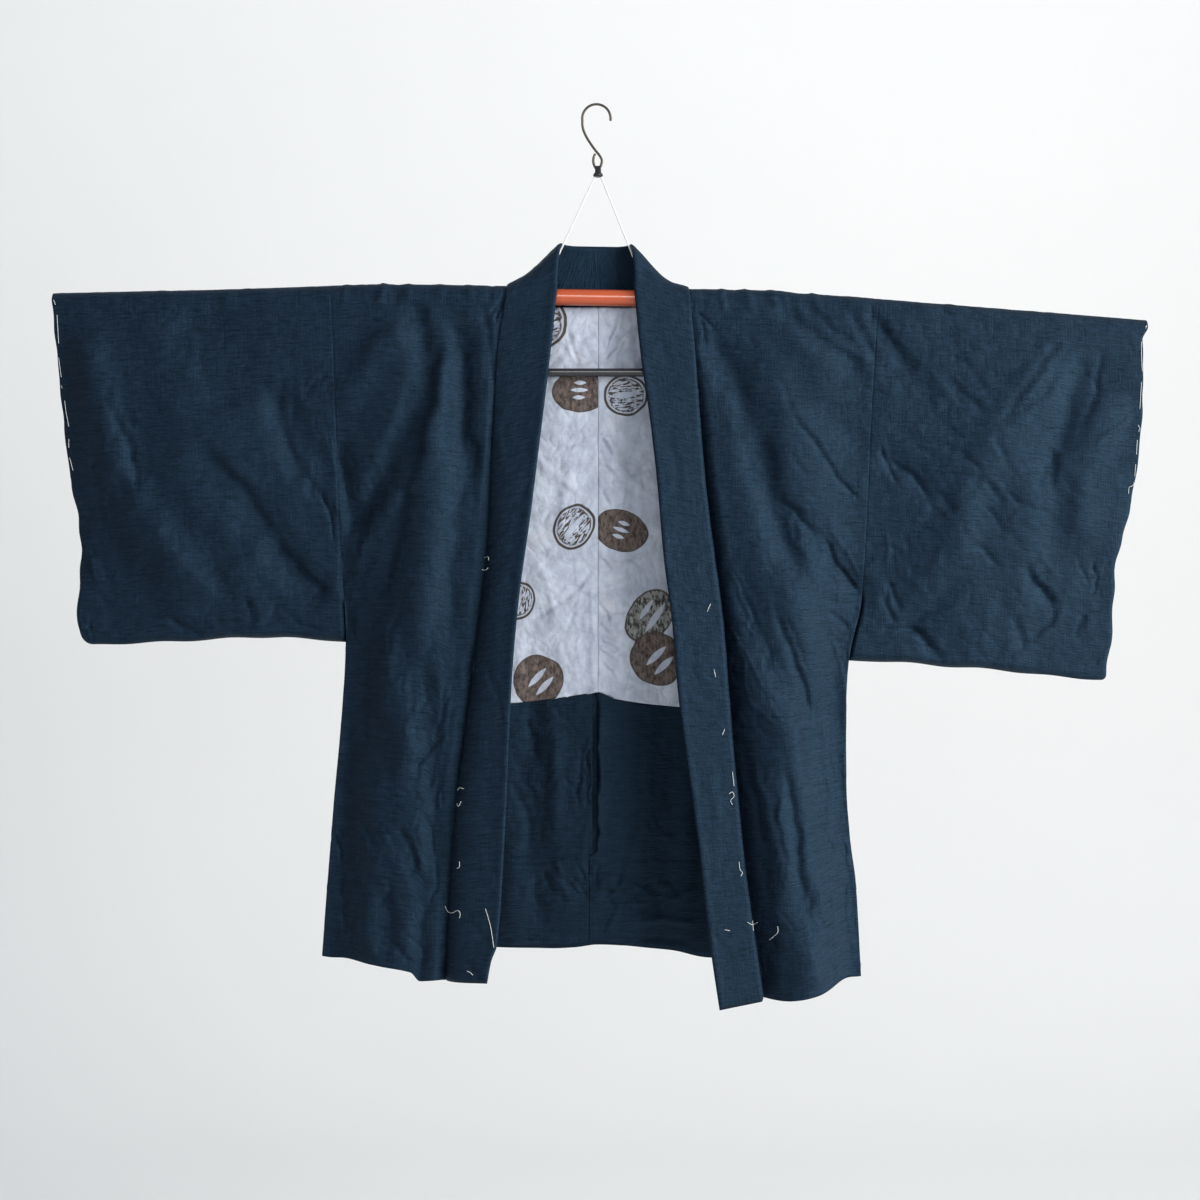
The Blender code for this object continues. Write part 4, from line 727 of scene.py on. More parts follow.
LINING_CREASES = (
    (2, -636, 13, -642, 30, -650, 4, 4, 3, 0.7), (2, -650, 12, -656, 24, -663, 4, 4, 2.6, 0.7),
    (3, -664, 13, -673, 24, -683, 4, 4, 2.8, 0.7), (2, -620, 10, -625, 20, -632, 4, 4, 2.6, 0.7),
    (2, -423, 14, -431, 28, -445, 4, 4, 2.8, 0.7), (2, -389, 12, -398, 24, -412, 4, 4, 2.6, 0.7),
    (2, -537, 10, -546, 22, -554, 4, 4, 2.6, 0.7), (2, -592, 14, -606, 20, -622, 4, 4, 2.4, 0.7),
    (10, -308, 30, -284, 46, -262, 4, 5, 2.8, 0.7), (8, -292, 21, -270, 32, -248, 4, 4, 2.6, 0.7),
    (6, -306, 24, -282, 40, -257, 4, 5, -2.6, 0.8), (5, -300, 16, -272, 27, -246, 4, 4, -2.4, 0.8),
    (20, -307, 36, -294, 52, -284, 4, 4, -2.2, 0.8),
    (2, -395, 10, -404, 20, -420, 4, 4, -2.2, 0.8), (4, -429, 14, -438, 27, -452, 4, 4, -2.4, 0.8),
    (3, -500, 14, -516, 30, -524, 4, 5, -2, 0.7), (2, -543, 8, -552, 18, -560, 4, 4, -2.2, 0.8),
    (2, -574, 14, -572, 30, -566, 4, 4, -2, 0.8), (2, -600, 12, -612, 16, -628, 4, 4, -2.2, 0.8),
    (0, -552, -40, -592, -87, -624, 5, 7, -2.6, 0.6),
    (-38, -262, -32, -286, -22, -312, 4, 4, -2, 0.8),
    (-24, -282, -14, -274, -2, -268, 4, 4, -1.6, 0.8),
    (-56, -268, -44, -300, -34, -316, 4, 5, 1.5, 0.7),
    (36, -312, 44, -290, 56, -266, 4, 5, -1.8, 0.7),
    (2, -641, 12, -648, 27, -655, 3.4, 3.4, -2.4, 0.9),
    (2, -656, 11, -661, 20, -668, 3.2, 3.2, -2, 0.9),
    (2, -670, 12, -680, 21, -690, 3.4, 3.4, -2.2, 0.9),
    (2, -628, 9, -632, 16, -638, 3.2, 3.2, -1.8, 0.9),
    (2, -462, 10, -470, 16, -482, 3.2, 3.4, -1.8, 0.9),
    (2, -388, 12, -396, 19, -404, 3.2, 3.4, -1.8, 0.9),
    (3, -410, 14, -440, 16, -470, 4, 5, -2, 0.7),
    (-86, -390, -70, -398, -52, -406, 3.6, 3.6, -1.6, 0.8),
    (-90, -470, -78, -486, -70, -500, 4, 4, 1.4, 0.7),
    (-16, -596, -30, -612, -44, -640, 4, 4, -1.6, 0.7),
    (-44, -640, -38, -660, -26, -676, 3.6, 3.6, -1.6, 0.8),
    (-8, -560, -6, -620, -8, -700, 4, 5, 1.2, 0.5),
    (-58, -250, -72, -300, -88, -362, 7, 9, 1.6, 0.6),
    (-20, -262, -36, -300, -62, -336, 6, 8, 1.3, 0.6),
    (-66, -318, -44, -336, -12, -344, 5, 6, 1.2, 0.7),
    (24, -250, 40, -290, 46, -340, 8, 8, 1.5, 0.5), (66, -262, 52, -300, 20, -350, 6, 8, 1.4, 0.6),
    (-90, -402, -60, -436, -18, -470, 7, 9, 1.6, 0.5),
    (-30, -420, -42, -470, -40, -520, 9, 9, 1.5, 0.3),
    (16, -410, 40, -450, 80, -476, 7, 9, 1.5, 0.5), (84, -500, 56, -540, 22, -560, 7, 8, 1.4, 0.6),
    (-80, -540, -56, -580, -50, -640, 8, 9, 1.6, 0.4),
    (-12, -560, -26, -612, -20, -680, 8, 8, 1.4, 0.4),
    (22, -590, 30, -640, 24, -700, 8, 8, 1.4, 0.3), (96, -600, 84, -650, 92, -710, 9, 9, 1.6, 0.3),
    (-96, -640, -92, -680, -98, -716, 9, 9, 1.4, 0.3),
)
FACING_CREASES = (
    (4, -706, 2, -800, 1, -900, 14, 4, 5, 0.2),
    (-106, -806, -88, -847, -82, -902, 5, 9, -2.6, 0.4),
    (-86, -731, -80, -760, -76, -789, 6, 10, -2.2, 0.3),
    (-19, -767, -22, -798, -24, -835, 5, 8, -2.6, 0.4),
    (-46, -738, -51, -810, -48, -883, 12, 14, 2.4, 0.2),
    (46, -835, 43, -866, 39, -897, 7, 10, -2.6, 0.3),
    (29, -900, 27, -924, 23, -945, 5, 10, -2.6, 0.4),
    (12, -941, 17, -962, 29, -973, 4.5, 8, -2.6, 0.6),
    (29, -973, 43, -977, 60, -972, 5, 7, 2.4, 0.6),
    (65, -953, 77, -965, 76, -982, 4.5, 8, -2.6, 0.6),
    (24, -984, 80, -980, 130, -986, 5, 9, 3, 0.5),
    (43, -999, 75, -1001, 111, -1008, 5, 8, -2.4, 0.5),
    (10, -999, 16, -979, 27, -960, 5, 8, 2.4, 0.5),
    (-124, -907, -70, -905, -5, -904, 4, 4, -2.6, 0.8),
    (-5, -906, 51, -906, 130, -909, 4, 4, -1.6, 0.8),
    (-48, -947, -42, -953, -31, -953, 4, 6, -2.2, 0.6),
    (-111, -1007, -94, -1005, -72, -1007, 5, 6, 2.2, 0.6),
    (99, -798, 89, -835, 94, -895, 8, 12, -1.8, 0.3),
    (-74, -921, -75, -943, -77, -961, 6, 9, -1.8, 0.4),
)
FRONT_CREASES += tuple(scattered(FRONT_SCATTER, FRONT_CLUSTERS))
FACING_CREASES += tuple(scattered(FACING_SCATTER, FACING_CLUSTERS))
LINING_CREASES += tuple(scattered(LINING_SCATTER, LINING_CLUSTERS))
# The hidden side has creases like the front's, from the other side of the jacket
BEHIND_DROP, BEHIND_SHARE, BEHIND_FROM_X = 24, 0.85, 112
CREASES = {FRONT: FRONT_CREASES, BACK: [
    (-x0, z0 - BEHIND_DROP, -x1, z1 - BEHIND_DROP, -x2, z2 - BEHIND_DROP,
     left, right, BEHIND_SHARE * height, sharp)
    for x0, z0, x1, z1, x2, z2, right, left, height, sharp in FRONT_CREASES
    if abs(x1) > BEHIND_FROM_X]}
CRUMPLE_SEED = {FRONT: FRONT_SEED, BACK: BACK_SEED}

THREADS = (  # basting threads: x, z down each stitch or loose end, seen from the front
    ((-648, -236), (-646, -242)), ((-644, -254), (-643, -271), (-642, -288)),
    ((-642, -305), (-639, -328)), ((-639, -338), (-638, -341)),
    ((-635, -356), (-633, -371), (-630, -387)), ((-630, -402), (-630, -412)),
    ((-629, -424), (-625, -439)), ((655, -263), (652, -270)),
    ((647, -286), (647, -303), (648, -321)), ((647, -334), (645, -366)),
    ((643, -385), (647, -393)), ((642, -403), (641, -420)), ((640, -432), (639, -446)),
    ((638, -454), (636, -467)), ((-135, -543), (-131, -542), (-130, -546)),
    ((-138, -557), (-134, -558), (-131, -555)), ((-167, -820), (-165, -817), (-160, -818)),
    ((-163, -833), (-166, -839), (-168, -836)), ((-165, -905), (-165, -911), (-168, -913)),
    ((-182, -958), (-179, -964), (-174, -966), (-167, -963), (-164, -967), (-165, -972)),
    ((-134, -961), (-130, -974), (-127, -987), (-124, -1007)),
    ((-156, -1035), (-152, -1037), (-149, -1040)), ((134, -598), (130, -607)),
    ((138, -676), (140, -685)), ((151, -747), (148, -754)),
    ((156, -824), (160, -822), (162, -827), (158, -832), (160, -837)), ((160, -798), (162, -815)),
    ((168, -905), (169, -914), (172, -918), (170, -922)), ((178, -977), (184, -980), (190, -977)),
    ((184, -975), (185, -987)), ((151, -986), (157, -987)),
    ((214, -982), (214, -989), (209, -994), (204, -998)),
)
THREAD_RADIUS, THREAD_SIDES, THREAD_STEPS = 0.27, 6, 5
THREAD_LIFT = 1.1
SEEN_PLANE_Y = -20

# Motifs on the lining: x, z of the middle, half length, half width, turn in degrees.
# The left panel's places are 500 further out, as its map of the cloth is.
THREE_SLOT_OVALS = (
    (-21.5, -341, 35, 26, 0), (528.5, -509.6, 34, 25, -19), (-158, -452, 32, 25, 30),
    (640, -330, 33, 26, 12), (650, -640, 33, 25, -35),
)
TWO_SLOT_OVALS = (
    (571, -664.5, 32, 34, 44), (-72.5, -690.5, 31, 31, 47), (-176, -610, 31, 30, -30),
    (600, -420, 30, 31, 20),
)
OUTLINED_OVALS = (
    (533.7, -346.5, 28, 25, 8), (-28.9, -505.4, 29.5, 24.5, 52), (-96, -594, 24, 21, 80),
    (-70, -258, 34, 34, 20), (-172, -322, 28, 24, -40), (630, -530, 28, 24, 70),
)
MOTTLED_OVALS = (
    (562.5, -612.5, 36, 26.5, 56), (-150, -545, 34, 27, -20),
)
FAR_FROM_OVALS = (9, 9, 0)  # a place in no oval
# Slots in an oval: middle, half length and half width, in half lengths and widths of the oval
MOTTLED_SLOTS = (0.05, -0.25, 0.6, 0.15), (0.1, 0.3, 0.4, 0.12)
TWO_SLOTS = (0.06, 0.1, 0.52, 0.12), (0.02, -0.34, 0.5, 0.12)
THREE_SLOTS = (0, 0.36, 0.22, 0.1), (-0.03, 0.02, 0.31, 0.1), (-0.05, -0.32, 0.22, 0.1)


# ---------------------------------------------------------------- where the cloth hangs

def tube_level(x):
    """Height where the cloth leaves the tube and starts to hang."""
    return CREST_LINE(x) - CREST_DROP


def crumple(seed, x, z):
    """Fine unevenness of the silk: soft dimples and a few faint creases in patches."""
    soft = sum(height * waves(seed + turn, x, z, length)
               for turn, (height, length) in enumerate(DIMPLES))
    lines = sum(height * np.clip(1 - thin * np.abs(waves(seed + turn, x, z, length)), 0, 1) ** 2
                for turn, (height, length, thin) in enumerate(FAINT_CREASES, 3))
    patch = np.clip(PATCH_SHARE + waves(seed + 2, x, z, PATCH_WAVE), 0, PATCH_TOP)
    return soft - patch * lines


def relief(way, x, z):
    return crease_height(CREASES[way], x, z) + crumple(CRUMPLE_SEED[way], x, z)


def hang(way, x, z, depth):
    """The y of a front or back layer that settles from the tube's side to its own depth."""
    fall = tube_level(x) - z
    out = np.maximum(way * depth + crease_height(FOLDS[way], x, z), LEAST_DEPTH)
    room = LEAST_ROOM + ROOM_GROWTH * np.clip(fall, 0, ROOM_REACH)
    return way * (mix(STAND_OFF[way], out, ease(fall / SETTLE_DROP))
                  + np.maximum(relief(way, x, z), -room))


def round_tube(arc):
    """The turn over the tube and the stand-off at a distance behind the crest."""
    turn = np.pi / 2 * np.clip(arc / QUARTER_ARC, -1, 1)
    return turn, np.where(arc < 0, STAND_OFF[FRONT], STAND_OFF[BACK])


def over_tube(x, arc):
    """The cloth over the tube, at a distance in front of (below 0) or behind the crest."""
    turn, stand_off = round_tube(arc)
    level = tube_level(x) + QUARTER_ARC
    rise = mix(relief(FRONT, x, level + arc), relief(BACK, x, level - arc),
               ease((arc / QUARTER_ARC + 1) / 2))
    rise = np.maximum(rise, -LEAST_ROOM)
    return joined(x, (stand_off + rise) * np.sin(turn),
                  CREST_LINE(x) - CREST_DROP * (1 - np.cos(turn)) + rise * np.cos(turn))


def outer_end(hem, side):
    """A hem's height at its outer end."""
    return hem.low if side == "right" else hem.top


def down_seam(table, hem_z, share):
    """A seam's x, its other columns and z, at a share of the way to the hem."""
    z = mix(tube_level(table.top), hem_z, share)
    return (*(table(z, column) for column in range(3)), z)


def side_seam(side, share):
    return down_seam(SIDE_EDGE[side], outer_end(FRONT_HEM[side], side), share)


def collar_seam(side, share):
    return down_seam(COLLAR_SEAM[side], FRONT_HEM[side](COLLAR_SEAM[side].low), share)


def seam_roll(reach):
    """How far a panel turns inward beside a seam."""
    return ROLL_DROP * np.clip(1 - reach / ROLL_SPREAD, 0, 1) ** 2


def seam_tuck(side, reach):
    """How far the cloth beside the collar runs on under its edge."""
    return SIDES[side] * SEAM_TUCK * np.clip(1 - reach / TUCK_REACH, 0, 1)


def collar_dip(side, z, reach):
    """How far a front sinks beside the collar, down to the seam between them."""
    return COLLAR_DIP[side](z) * np.clip(1 - reach / COLLAR_DIP[side](z, 1), 0, 1) ** 2


def hem_wobble(seed, x):
    return HEM_WOBBLE * waves(seed, x, 0 * x, HEM_WAVE)


def front_place(side, across, share):
    """A front panel, from the side (across 0) to the collar seam (across 1)."""
    side_x, side_y = side_seam(side, share)[:2]
    seam_x, seam_y, bow = collar_seam(side, share)[:3]
    x = mix(side_x, seam_x, across)
    top_x = mix(SIDE_EDGE[side].top, COLLAR_SEAM[side].top, across)
    hem_x = mix(SIDE_EDGE[side].low, COLLAR_SEAM[side].low, across)
    z = mix(tube_level(top_x), FRONT_HEM[side](hem_x), share)
    y = hang(FRONT, x, z, mix(side_y, seam_y, ease(across)) - bow * swell(across))
    width = np.abs(side_x - seam_x)
    y = y + seam_roll(across * width) + collar_dip(side, z, (1 - across) * width)
    x = x - seam_tuck(side, (1 - across) * width)
    return joined(x, y, z + hem_wobble(BODY_HEM_SEED, x) * share ** BODY_HEM_FADE)


def wrap_place(side, across, arc):
    """The part of a body length that lies over the tube."""
    side_x, seam_x = SIDE_EDGE[side].top, SIDES[side] * NECK_LINE(arc)
    tuck = seam_tuck(side, (1 - across) * np.abs(side_x - seam_x))
    return over_tube(mix(side_x, seam_x, across) - np.where(arc < 0, tuck, 0), arc)


def back_depth(side, x, z):
    across = 1 - x / SIDE_EDGE[side](z)
    return (mix(SIDE_EDGE[side](z, 2), CENTRE_BACK(z), ease(across))
            + CENTRE_BACK(z, 1) * swell(across))


def back_place(side, across, drop, fall):
    """A back panel, from the side (across 0) to the centre back seam (across 1)."""
    share = drop / fall
    side_x = side_seam(side, share)[0]
    centre_x = SIDES[side] * NECK_LINE(QUARTER_ARC + drop)
    x = mix(side_x, centre_x, across)
    top_z = tube_level(mix(SIDE_EDGE[side].top, 0, across))
    low_z = BACK_HEM(mix(SIDE_EDGE[side].low, 0, across))
    z = np.where(drop > NECK_DROP, mix(top_z, low_z, share), tube_level(x) - drop)
    width = np.abs(side_x - centre_x)
    roll = seam_roll(across * width) + seam_roll((1 - across) * width)
    return joined(x, hang(BACK, x, z, back_depth(side, x, z)) - roll, z)


def body_points(side):
    """One unbroken length from the front hem over the tube down to the back hem."""
    across = spaced(BODY_COLUMNS)[None, :]
    share = np.linspace(1, 0, FRONT_ROWS, endpoint=False)[:, None]
    arc = np.linspace(-QUARTER_ARC, QUARTER_ARC, WRAP_ROWS)[:, None]
    fall = tube_level(SIDE_EDGE[side].top) - outer_end(BACK_HEM, side)
    drop = np.concatenate((np.arange(NECK_STEP, NECK_DROP, NECK_STEP),
                           np.linspace(NECK_DROP, fall, BACK_ROWS)))[:, None]
    return np.concatenate((front_place(side, across, share), wrap_place(side, across, arc),
                           back_place(side, across, drop, fall)))


def sleeve_layers(side, out, share, closing):
    """Front and back layers of a sleeve, from the armhole (out 0) to the cuff (out 1)."""
    sign, edge, cuff, hem = SIDES[side], SIDE_EDGE[side], CUFF_EDGE[side], SLEEVE_HEM[side]
    seam_low_x, cuff_low_x = SLEEVE_CORNER_X[side]
    z = mix(tube_level(mix(edge.top, cuff.top, out)), hem(mix(seam_low_x, cuff_low_x, out)), share)
    seam_z = mix(tube_level(edge.top), hem(seam_low_x), share)
    cuff_z = mix(tube_level(cuff.top), hem(cuff_low_x), share)
    seam_shut = ease((ARMHOLE_SHUT_BELOW[side] + SHUT_BLEND - seam_z) / SHUT_BLEND)
    cuff_shut = ease((CUFF_SHUT_BELOW[side] + SHUT_BLEND - cuff_z) / SHUT_BLEND)
    seam_x = edge(seam_z) + sign * SHUT_END_INSET * seam_shut
    width = np.abs(cuff(cuff_z) - seam_x)
    corner = SLEEVE_CORNER_ROUND[side]
    inset = corner * (1 - rounding(cuff_z - hem(cuff_low_x), corner))
    wobble = CUFF_WOBBLE * waves(CUFF_SEED, 0 * share, cuff_z, CUFF_WAVE)
    cuff_x = cuff(cuff_z) - sign * inset + wobble
    x = mix(seam_x, cuff_x, out)
    roll = ((1 - seam_shut) * seam_roll(out * width)
            + (1 - cuff_shut) * seam_roll((1 - out) * width))
    closing = (closing * mix(1, rounding(out * width, EDGE_RADIUS), seam_shut)
               * mix(1, rounding((1 - out) * width, EDGE_RADIUS), cuff_shut))
    front, back = (
        hang(way, x, z, mix(edge(seam_z, column), cuff(cuff_z, column), ease(out))
             + way * SLEEVE_CROWN(share, column - 1) * swell(out)) - way * roll
        for way, column in ((FRONT, 1), (BACK, 2)))
    middle, half = (front + back) / 2, np.maximum((back - front) / 2, SLEEVE_HALF_GAP) * closing
    z = z + hem_wobble(SLEEVE_HEM_SEED, x) * share ** SLEEVE_HEM_FADE
    return joined(x, middle - half, z), joined(x, middle + half, z)


def sleeve_points(side):
    """A folded rectangle, row by row from the crest down the front and up the back."""
    out = spaced(SLEEVE_COLUMNS)[None, :]
    middle_x = SIDES[side] * SLEEVE_MIDDLE_X
    straight = 1 - SLEEVE_ROUND / (tube_level(middle_x) - SLEEVE_HEM[side](middle_x))
    turn = np.linspace(0, math.pi / 2, SLEEVE_TURN_ROWS)
    share = np.concatenate((np.linspace(0, straight, SLEEVE_ROWS, endpoint=False),
                            mix(straight, 1, np.sin(turn))))[:, None]
    closing = np.concatenate((np.ones(SLEEVE_ROWS), np.cos(turn)))[:, None]
    arc = np.linspace(0, QUARTER_ARC, WRAP_ROWS // 2, endpoint=False)[:, None]
    top_x = mix(SIDE_EDGE[side].top, CUFF_EDGE[side].top, out)
    going, coming = (
        np.concatenate((over_tube(top_x, way * arc), layer))
        for way, layer in zip((FRONT, BACK), sleeve_layers(side, out, share, closing)))
    return np.concatenate((going, coming[-2::-1]))


def collar_lines(side):
    """Seam, free edge, clearance, sag, lift and its spread, from the hem to the nape."""
    share = np.linspace(1, 0, COLLAR_ROWS, endpoint=False)
    seam_x, seam_y, _, seam_z = collar_seam(side, share)
    free = FREE_EDGE[side]
    edge_z = mix(free.key[-1], free.key[0], share)
    settle = ease((tube_level(seam_x) - seam_z) / SETTLE_DROP)
    folds = crease_height(FOLDS[FRONT], seam_x, seam_z)
    seam_y = mix(-STAND_OFF[FRONT], np.minimum(seam_y - folds, -LEAST_DEPTH), settle)
    dip = COLLAR_DIP[side](seam_z)
    lift = dip + COLLAR_LIFT[side] * ease((FACE_LEVEL_Z - seam_z) / LIFT_BLEND)
    front = joined(seam_x, seam_y + dip, seam_z,
                   free(edge_z), free(edge_z, 1) + COLLAR_SET_BACK[side](edge_z), edge_z,
                   COLLAR_CLEARANCE, 0, lift, COLLAR_LIFT_SPREAD[side])
    arc = np.linspace(-QUARTER_ARC, NECK_LINE.key[-1], COLLAR_NECK_ROWS)
    seam_x, edge_x = SIDES[side] * NECK_LINE(arc), SIDES[side] * NECK_LINE(arc, 1)
    turn, stand_off = round_tube(arc)
    below = np.clip(arc - QUARTER_ARC, 0, None)
    neck = joined(seam_x, stand_off * np.sin(turn),
                  CREST_LINE(seam_x) - CREST_DROP * (1 - np.cos(turn)) - below,
                  edge_x + NECK_EDGE_X_SHIFT, NECK_LINE(arc, 2),
                  CREST_LINE(edge_x) + NECK_LINE(arc, 3),
                  NECK_LINE(arc, 4), NECK_LINE(arc, 5) * SHOULDER_SAG[side], 0,
                  COLLAR_LIFT_SPREAD[side])
    return np.vstack((front, neck))


def collar_points():
    """The band as a flattened tube: out along its face to the free edge and back inside."""
    stations = np.vstack((collar_lines("right"), collar_lines("left")[-2::-1]))[:, None, :]
    seam, edge = stations[..., 0:3], stations[..., 3:6]
    clearance, sag, lift, spread = (stations[..., column] for column in range(6, 10))
    start = seam + unit(edge - seam) * (clearance - COLLAR_TUCK_IN)[..., None]
    even, drawn = np.linspace(0, 1, COLLAR_COLUMNS + 1), spaced(COLLAR_COLUMNS)
    across = mix(even, drawn, COLLAR_PULL)[None, :]
    middle = mix(start, edge, across[..., None])
    width = np.linalg.norm(edge - start, axis=-1)
    middle[..., 1] -= lift * (1 - across) * rounding(across * width, spread)
    middle[..., 2] -= sag * swell(across ** SAG_LEAN)
    normal = unit(np.cross(np.gradient(middle, axis=0), np.gradient(middle, axis=1)))
    length = row_travel(middle)
    x, z = middle[..., 0], middle[..., 2]
    from_edge = (1 - across) * width
    ends = rounding(np.minimum(length, length[-1] - length), COLLAR_EDGE_ROUND)
    half = (COLLAR_HALF * ends * rounding(from_edge, COLLAR_EDGE_ROUND)
            * rounding(across * width, COLLAR_SEAM_ROUND)
            * (1 + COLLAR_PLUMP * np.exp(-((from_edge - PLUMP_PLACE) / PLUMP_SPREAD) ** 2)))
    ripple = (crease_height(COLLAR_CREASES, x, z)
              + COLLAR_CRUMPLE * crumple(COLLAR_SEED, x + COLLAR_CRUMPLE_RUN * length, z))
    middle = middle + normal * (ripple * rounding(from_edge, COLLAR_CALM_EDGE) * ends)[..., None]
    face, inside = (middle + way * normal * half[..., None] for way in (1, -1))
    return np.concatenate((face, inside[:, -2::-1]), axis=1), length, across, width


def gusset_points(side):
    """The folded wedge between the front's and the back's side edges."""
    top_z = ARMHOLE_SHUT_BELOW[side]
    z = np.linspace(GUSSET_LOW_Z[side], top_z, GUSSET_ROWS)[:, None]
    across = np.linspace(0, 1, GUSSET_COLUMNS + 1)[None, :]
    edge_x = SIDE_EDGE[side](z)
    front, back = (hang(way, edge_x, z, SIDE_EDGE[side](z, column)) - way * GUSSET_PLY
                   for way, column in ((FRONT, 1), (BACK, 2)))
    tuck = GUSSET_TUCK * swell(across) * ease((top_z - z) / GUSSET_OPENING)
    inset = GUSSET_INSET + tuck + GUSSET_WOBBLE * waves(GUSSET_SEED, z, z, GUSSET_WAVE)
    return joined(edge_x - SIDES[side] * inset, mix(front, back, across), z), across


def inner_skin(side, grid, level, top_z, low_z, inner_x):
    """A skin on the inside of the back, from beside the side edge to its inner edge."""
    across = spaced(grid[0], INNER_PULL)[None, :]
    share = np.linspace(0, 1, grid[1] + 1)[:, None]
    guess_x = mix(SIDE_EDGE[side](level(share)) * LINING_SHARE, 0, across)
    z = mix(top_z(guess_x), low_z(guess_x), share)
    x = mix(SIDE_EDGE[side](z) * LINING_SHARE, inner_x(z), across)
    return x, hang(BACK, x, z, back_depth(side, x, z)), z


def wrinkled(rows, height, seed, x, z):
    """How far in front of the back's middle a creased skin stands."""
    rise = height * crease_height(rows, x, z) + LINING_CRUMPLE * crumple(seed, x, z)
    return LINING_STAND + np.maximum(rise, -LINING_GIVE)


def lining_points(side):
    seam_x = SIDES[side] * LINING_SEAM_GAP
    x, y, z = inner_skin(
        side, LINING_GRID, lambda share: mix(LINING_TOP_Z, LINING_LOW_Z, share),
        lambda x: LINING_TOP_Z, LINING_EDGE, lambda z: seam_x)
    y = y + LINING_SEAM_FALL * seam_roll(LINING_SEAM_REACH * np.abs(x - seam_x))
    return joined(x, y - wrinkled(LINING_CREASES, LINING_WRINKLE, LINING_SEED, x, z), z)


def facing_points(side):
    x, y, z = inner_skin(
        side, FACING_GRID, lambda share: FACING_TOP_Z, lambda x: LINING_EDGE(x) - FACING_TUCK,
        lambda x: BACK_HEM(x) + FACING_HEM_RISE, SLIT[side])
    return joined(x, y - wrinkled(FACING_CREASES, 1, FACING_SEED, x, z), z)


# ---------------------------------------------------------------- making pieces

def mesh_object(name, mesh):
    """A smooth object in the scene, made of a bmesh in metres."""
    data = bpy.data.meshes.new(name)
    mesh.to_mesh(data)
    mesh.free()
    data.shade_smooth()
    piece = bpy.data.objects.new(name, data)
    bpy.context.scene.collection.objects.link(piece)
    return piece


def finished(name, mesh, slot, replaces=()):
    """Turns a bmesh into a piece that rides on the object's one body."""
    piece = mesh_object(name, mesh)
    piece.data.materials.append(FINISHES[slot])
    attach(piece, "root")
    if replaces:
        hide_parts(*replaces)
    return piece


def closed(mesh, gap=0):
    """Joins what lies closer than a gap in metres, and turns all the faces one way."""
    if gap:
        bmesh.ops.remove_doubles(mesh, verts=mesh.verts, dist=gap)
    bmesh.ops.recalc_face_normals(mesh, faces=mesh.faces)
    return mesh


def grid_mesh(points, across, along):
    """A bmesh grid moved onto points in millimetres, with its UV map in metres of cloth."""
    rows, columns = points.shape[0] - 1, points.shape[1] - 1
    mesh = bmesh.new()
    bmesh.ops.create_grid(mesh, x_segments=columns, y_segments=rows, size=0.5)
    across, along = (np.broadcast_to(value, points.shape[:2]) * MM for value in (across, along))
    spots = {}
    for vertex in mesh.verts:
        column = round((vertex.co.x + 0.5) * columns)
        row = round((vertex.co.y + 0.5) * rows)
        spots[vertex] = (across[row, column], along[row, column])
        vertex.co = points[row, column] * MM
    layer = mesh.loops.layers.uv.new("cloth")
    for face in mesh.faces:
        for loop in face.loops:
            loop[layer].uv = spots[loop.vert]
    return mesh


def cloth_piece(name, points, across, along, slot, replaces, wall=0, weld=0):
    """A piece of cloth: an open surface with a wall, or without one a closed surface."""
    mesh = closed(grid_mesh(points, across, along), weld)
    piece = finished(name, mesh, slot, replaces)
    if wall:
        shell = piece.modifiers.new("Wall", "SOLIDIFY")
        shell.thickness = wall * MM
        shell.offset = 0
        shell.use_even_offset = False
        shell.use_quality_normals = True
    return piece


def smooth_line(points, steps):
    """A smooth line through points, with a number of steps between each two."""
    points = np.array(points, dtype=float)
    ahead = np.vstack((2 * points[0] - points[1], points, 2 * points[-1] - points[-2]))
    line = []
    for spot in range(len(points) - 1):
        a, b, c, d = ahead[spot:spot + 4]
        for t in np.linspace(0, 1, steps, endpoint=False):
            line.append(0.5 * (2 * b + (c - a) * t + (2 * a - 5 * b + 4 * c - d) * t ** 2
                               + (3 * b - a - 3 * c + d) * t ** 3))
    return np.array(line + [points[-1]])


def strand_mesh(line, radius, sides, into=None):
    """A round strand along a line in millimetres, with a dome at both ends."""
    line = np.array(line, dtype=float)
    heading = unit(np.gradient(line, axis=0))
    beside = np.cross(heading[0], Y_AXIS if abs(heading[0][1]) < NEARLY_ALONG else X_AXIS)
    frames = []
    for direction in heading:
        beside = unit(beside - direction * beside.dot(direction))
        frames.append((beside, np.cross(direction, beside)))
    turn = np.linspace(0, 2 * math.pi, sides + 1)[None, :, None]
    first, second = np.array(frames).transpose(1, 0, 2)[:, :, None, :]
    ring = first * np.cos(turn) + second * np.sin(turn)
    sizes, reaches = np.array(DOME).T * radius
    start = line[0] - heading[0] * reaches[:, None]
    end = line[-1] + heading[-1] * reaches[::-1, None]
    line = np.vstack((start, line, end))
    sizes = np.concatenate((sizes, np.full(len(heading), radius), sizes[::-1]))
    ring = np.concatenate((ring[:1], ring[:1], ring, ring[-1:], ring[-1:]))
    points = line[:, None, :] + ring * sizes[:, None, None]
    around = 2 * math.pi * radius * np.linspace(0, 1, sides + 1)[None, :]
    strand = closed(grid_mesh(points, around, row_travel(points)), STRAND_WELD)
    if into is None:
        return strand
    data = bpy.data.meshes.new("strand")
    strand.to_mesh(data)
    strand.free()
    into.from_mesh(data)
    bpy.data.meshes.remove(data)
    return into


# ---------------------------------------------------------------- finishes

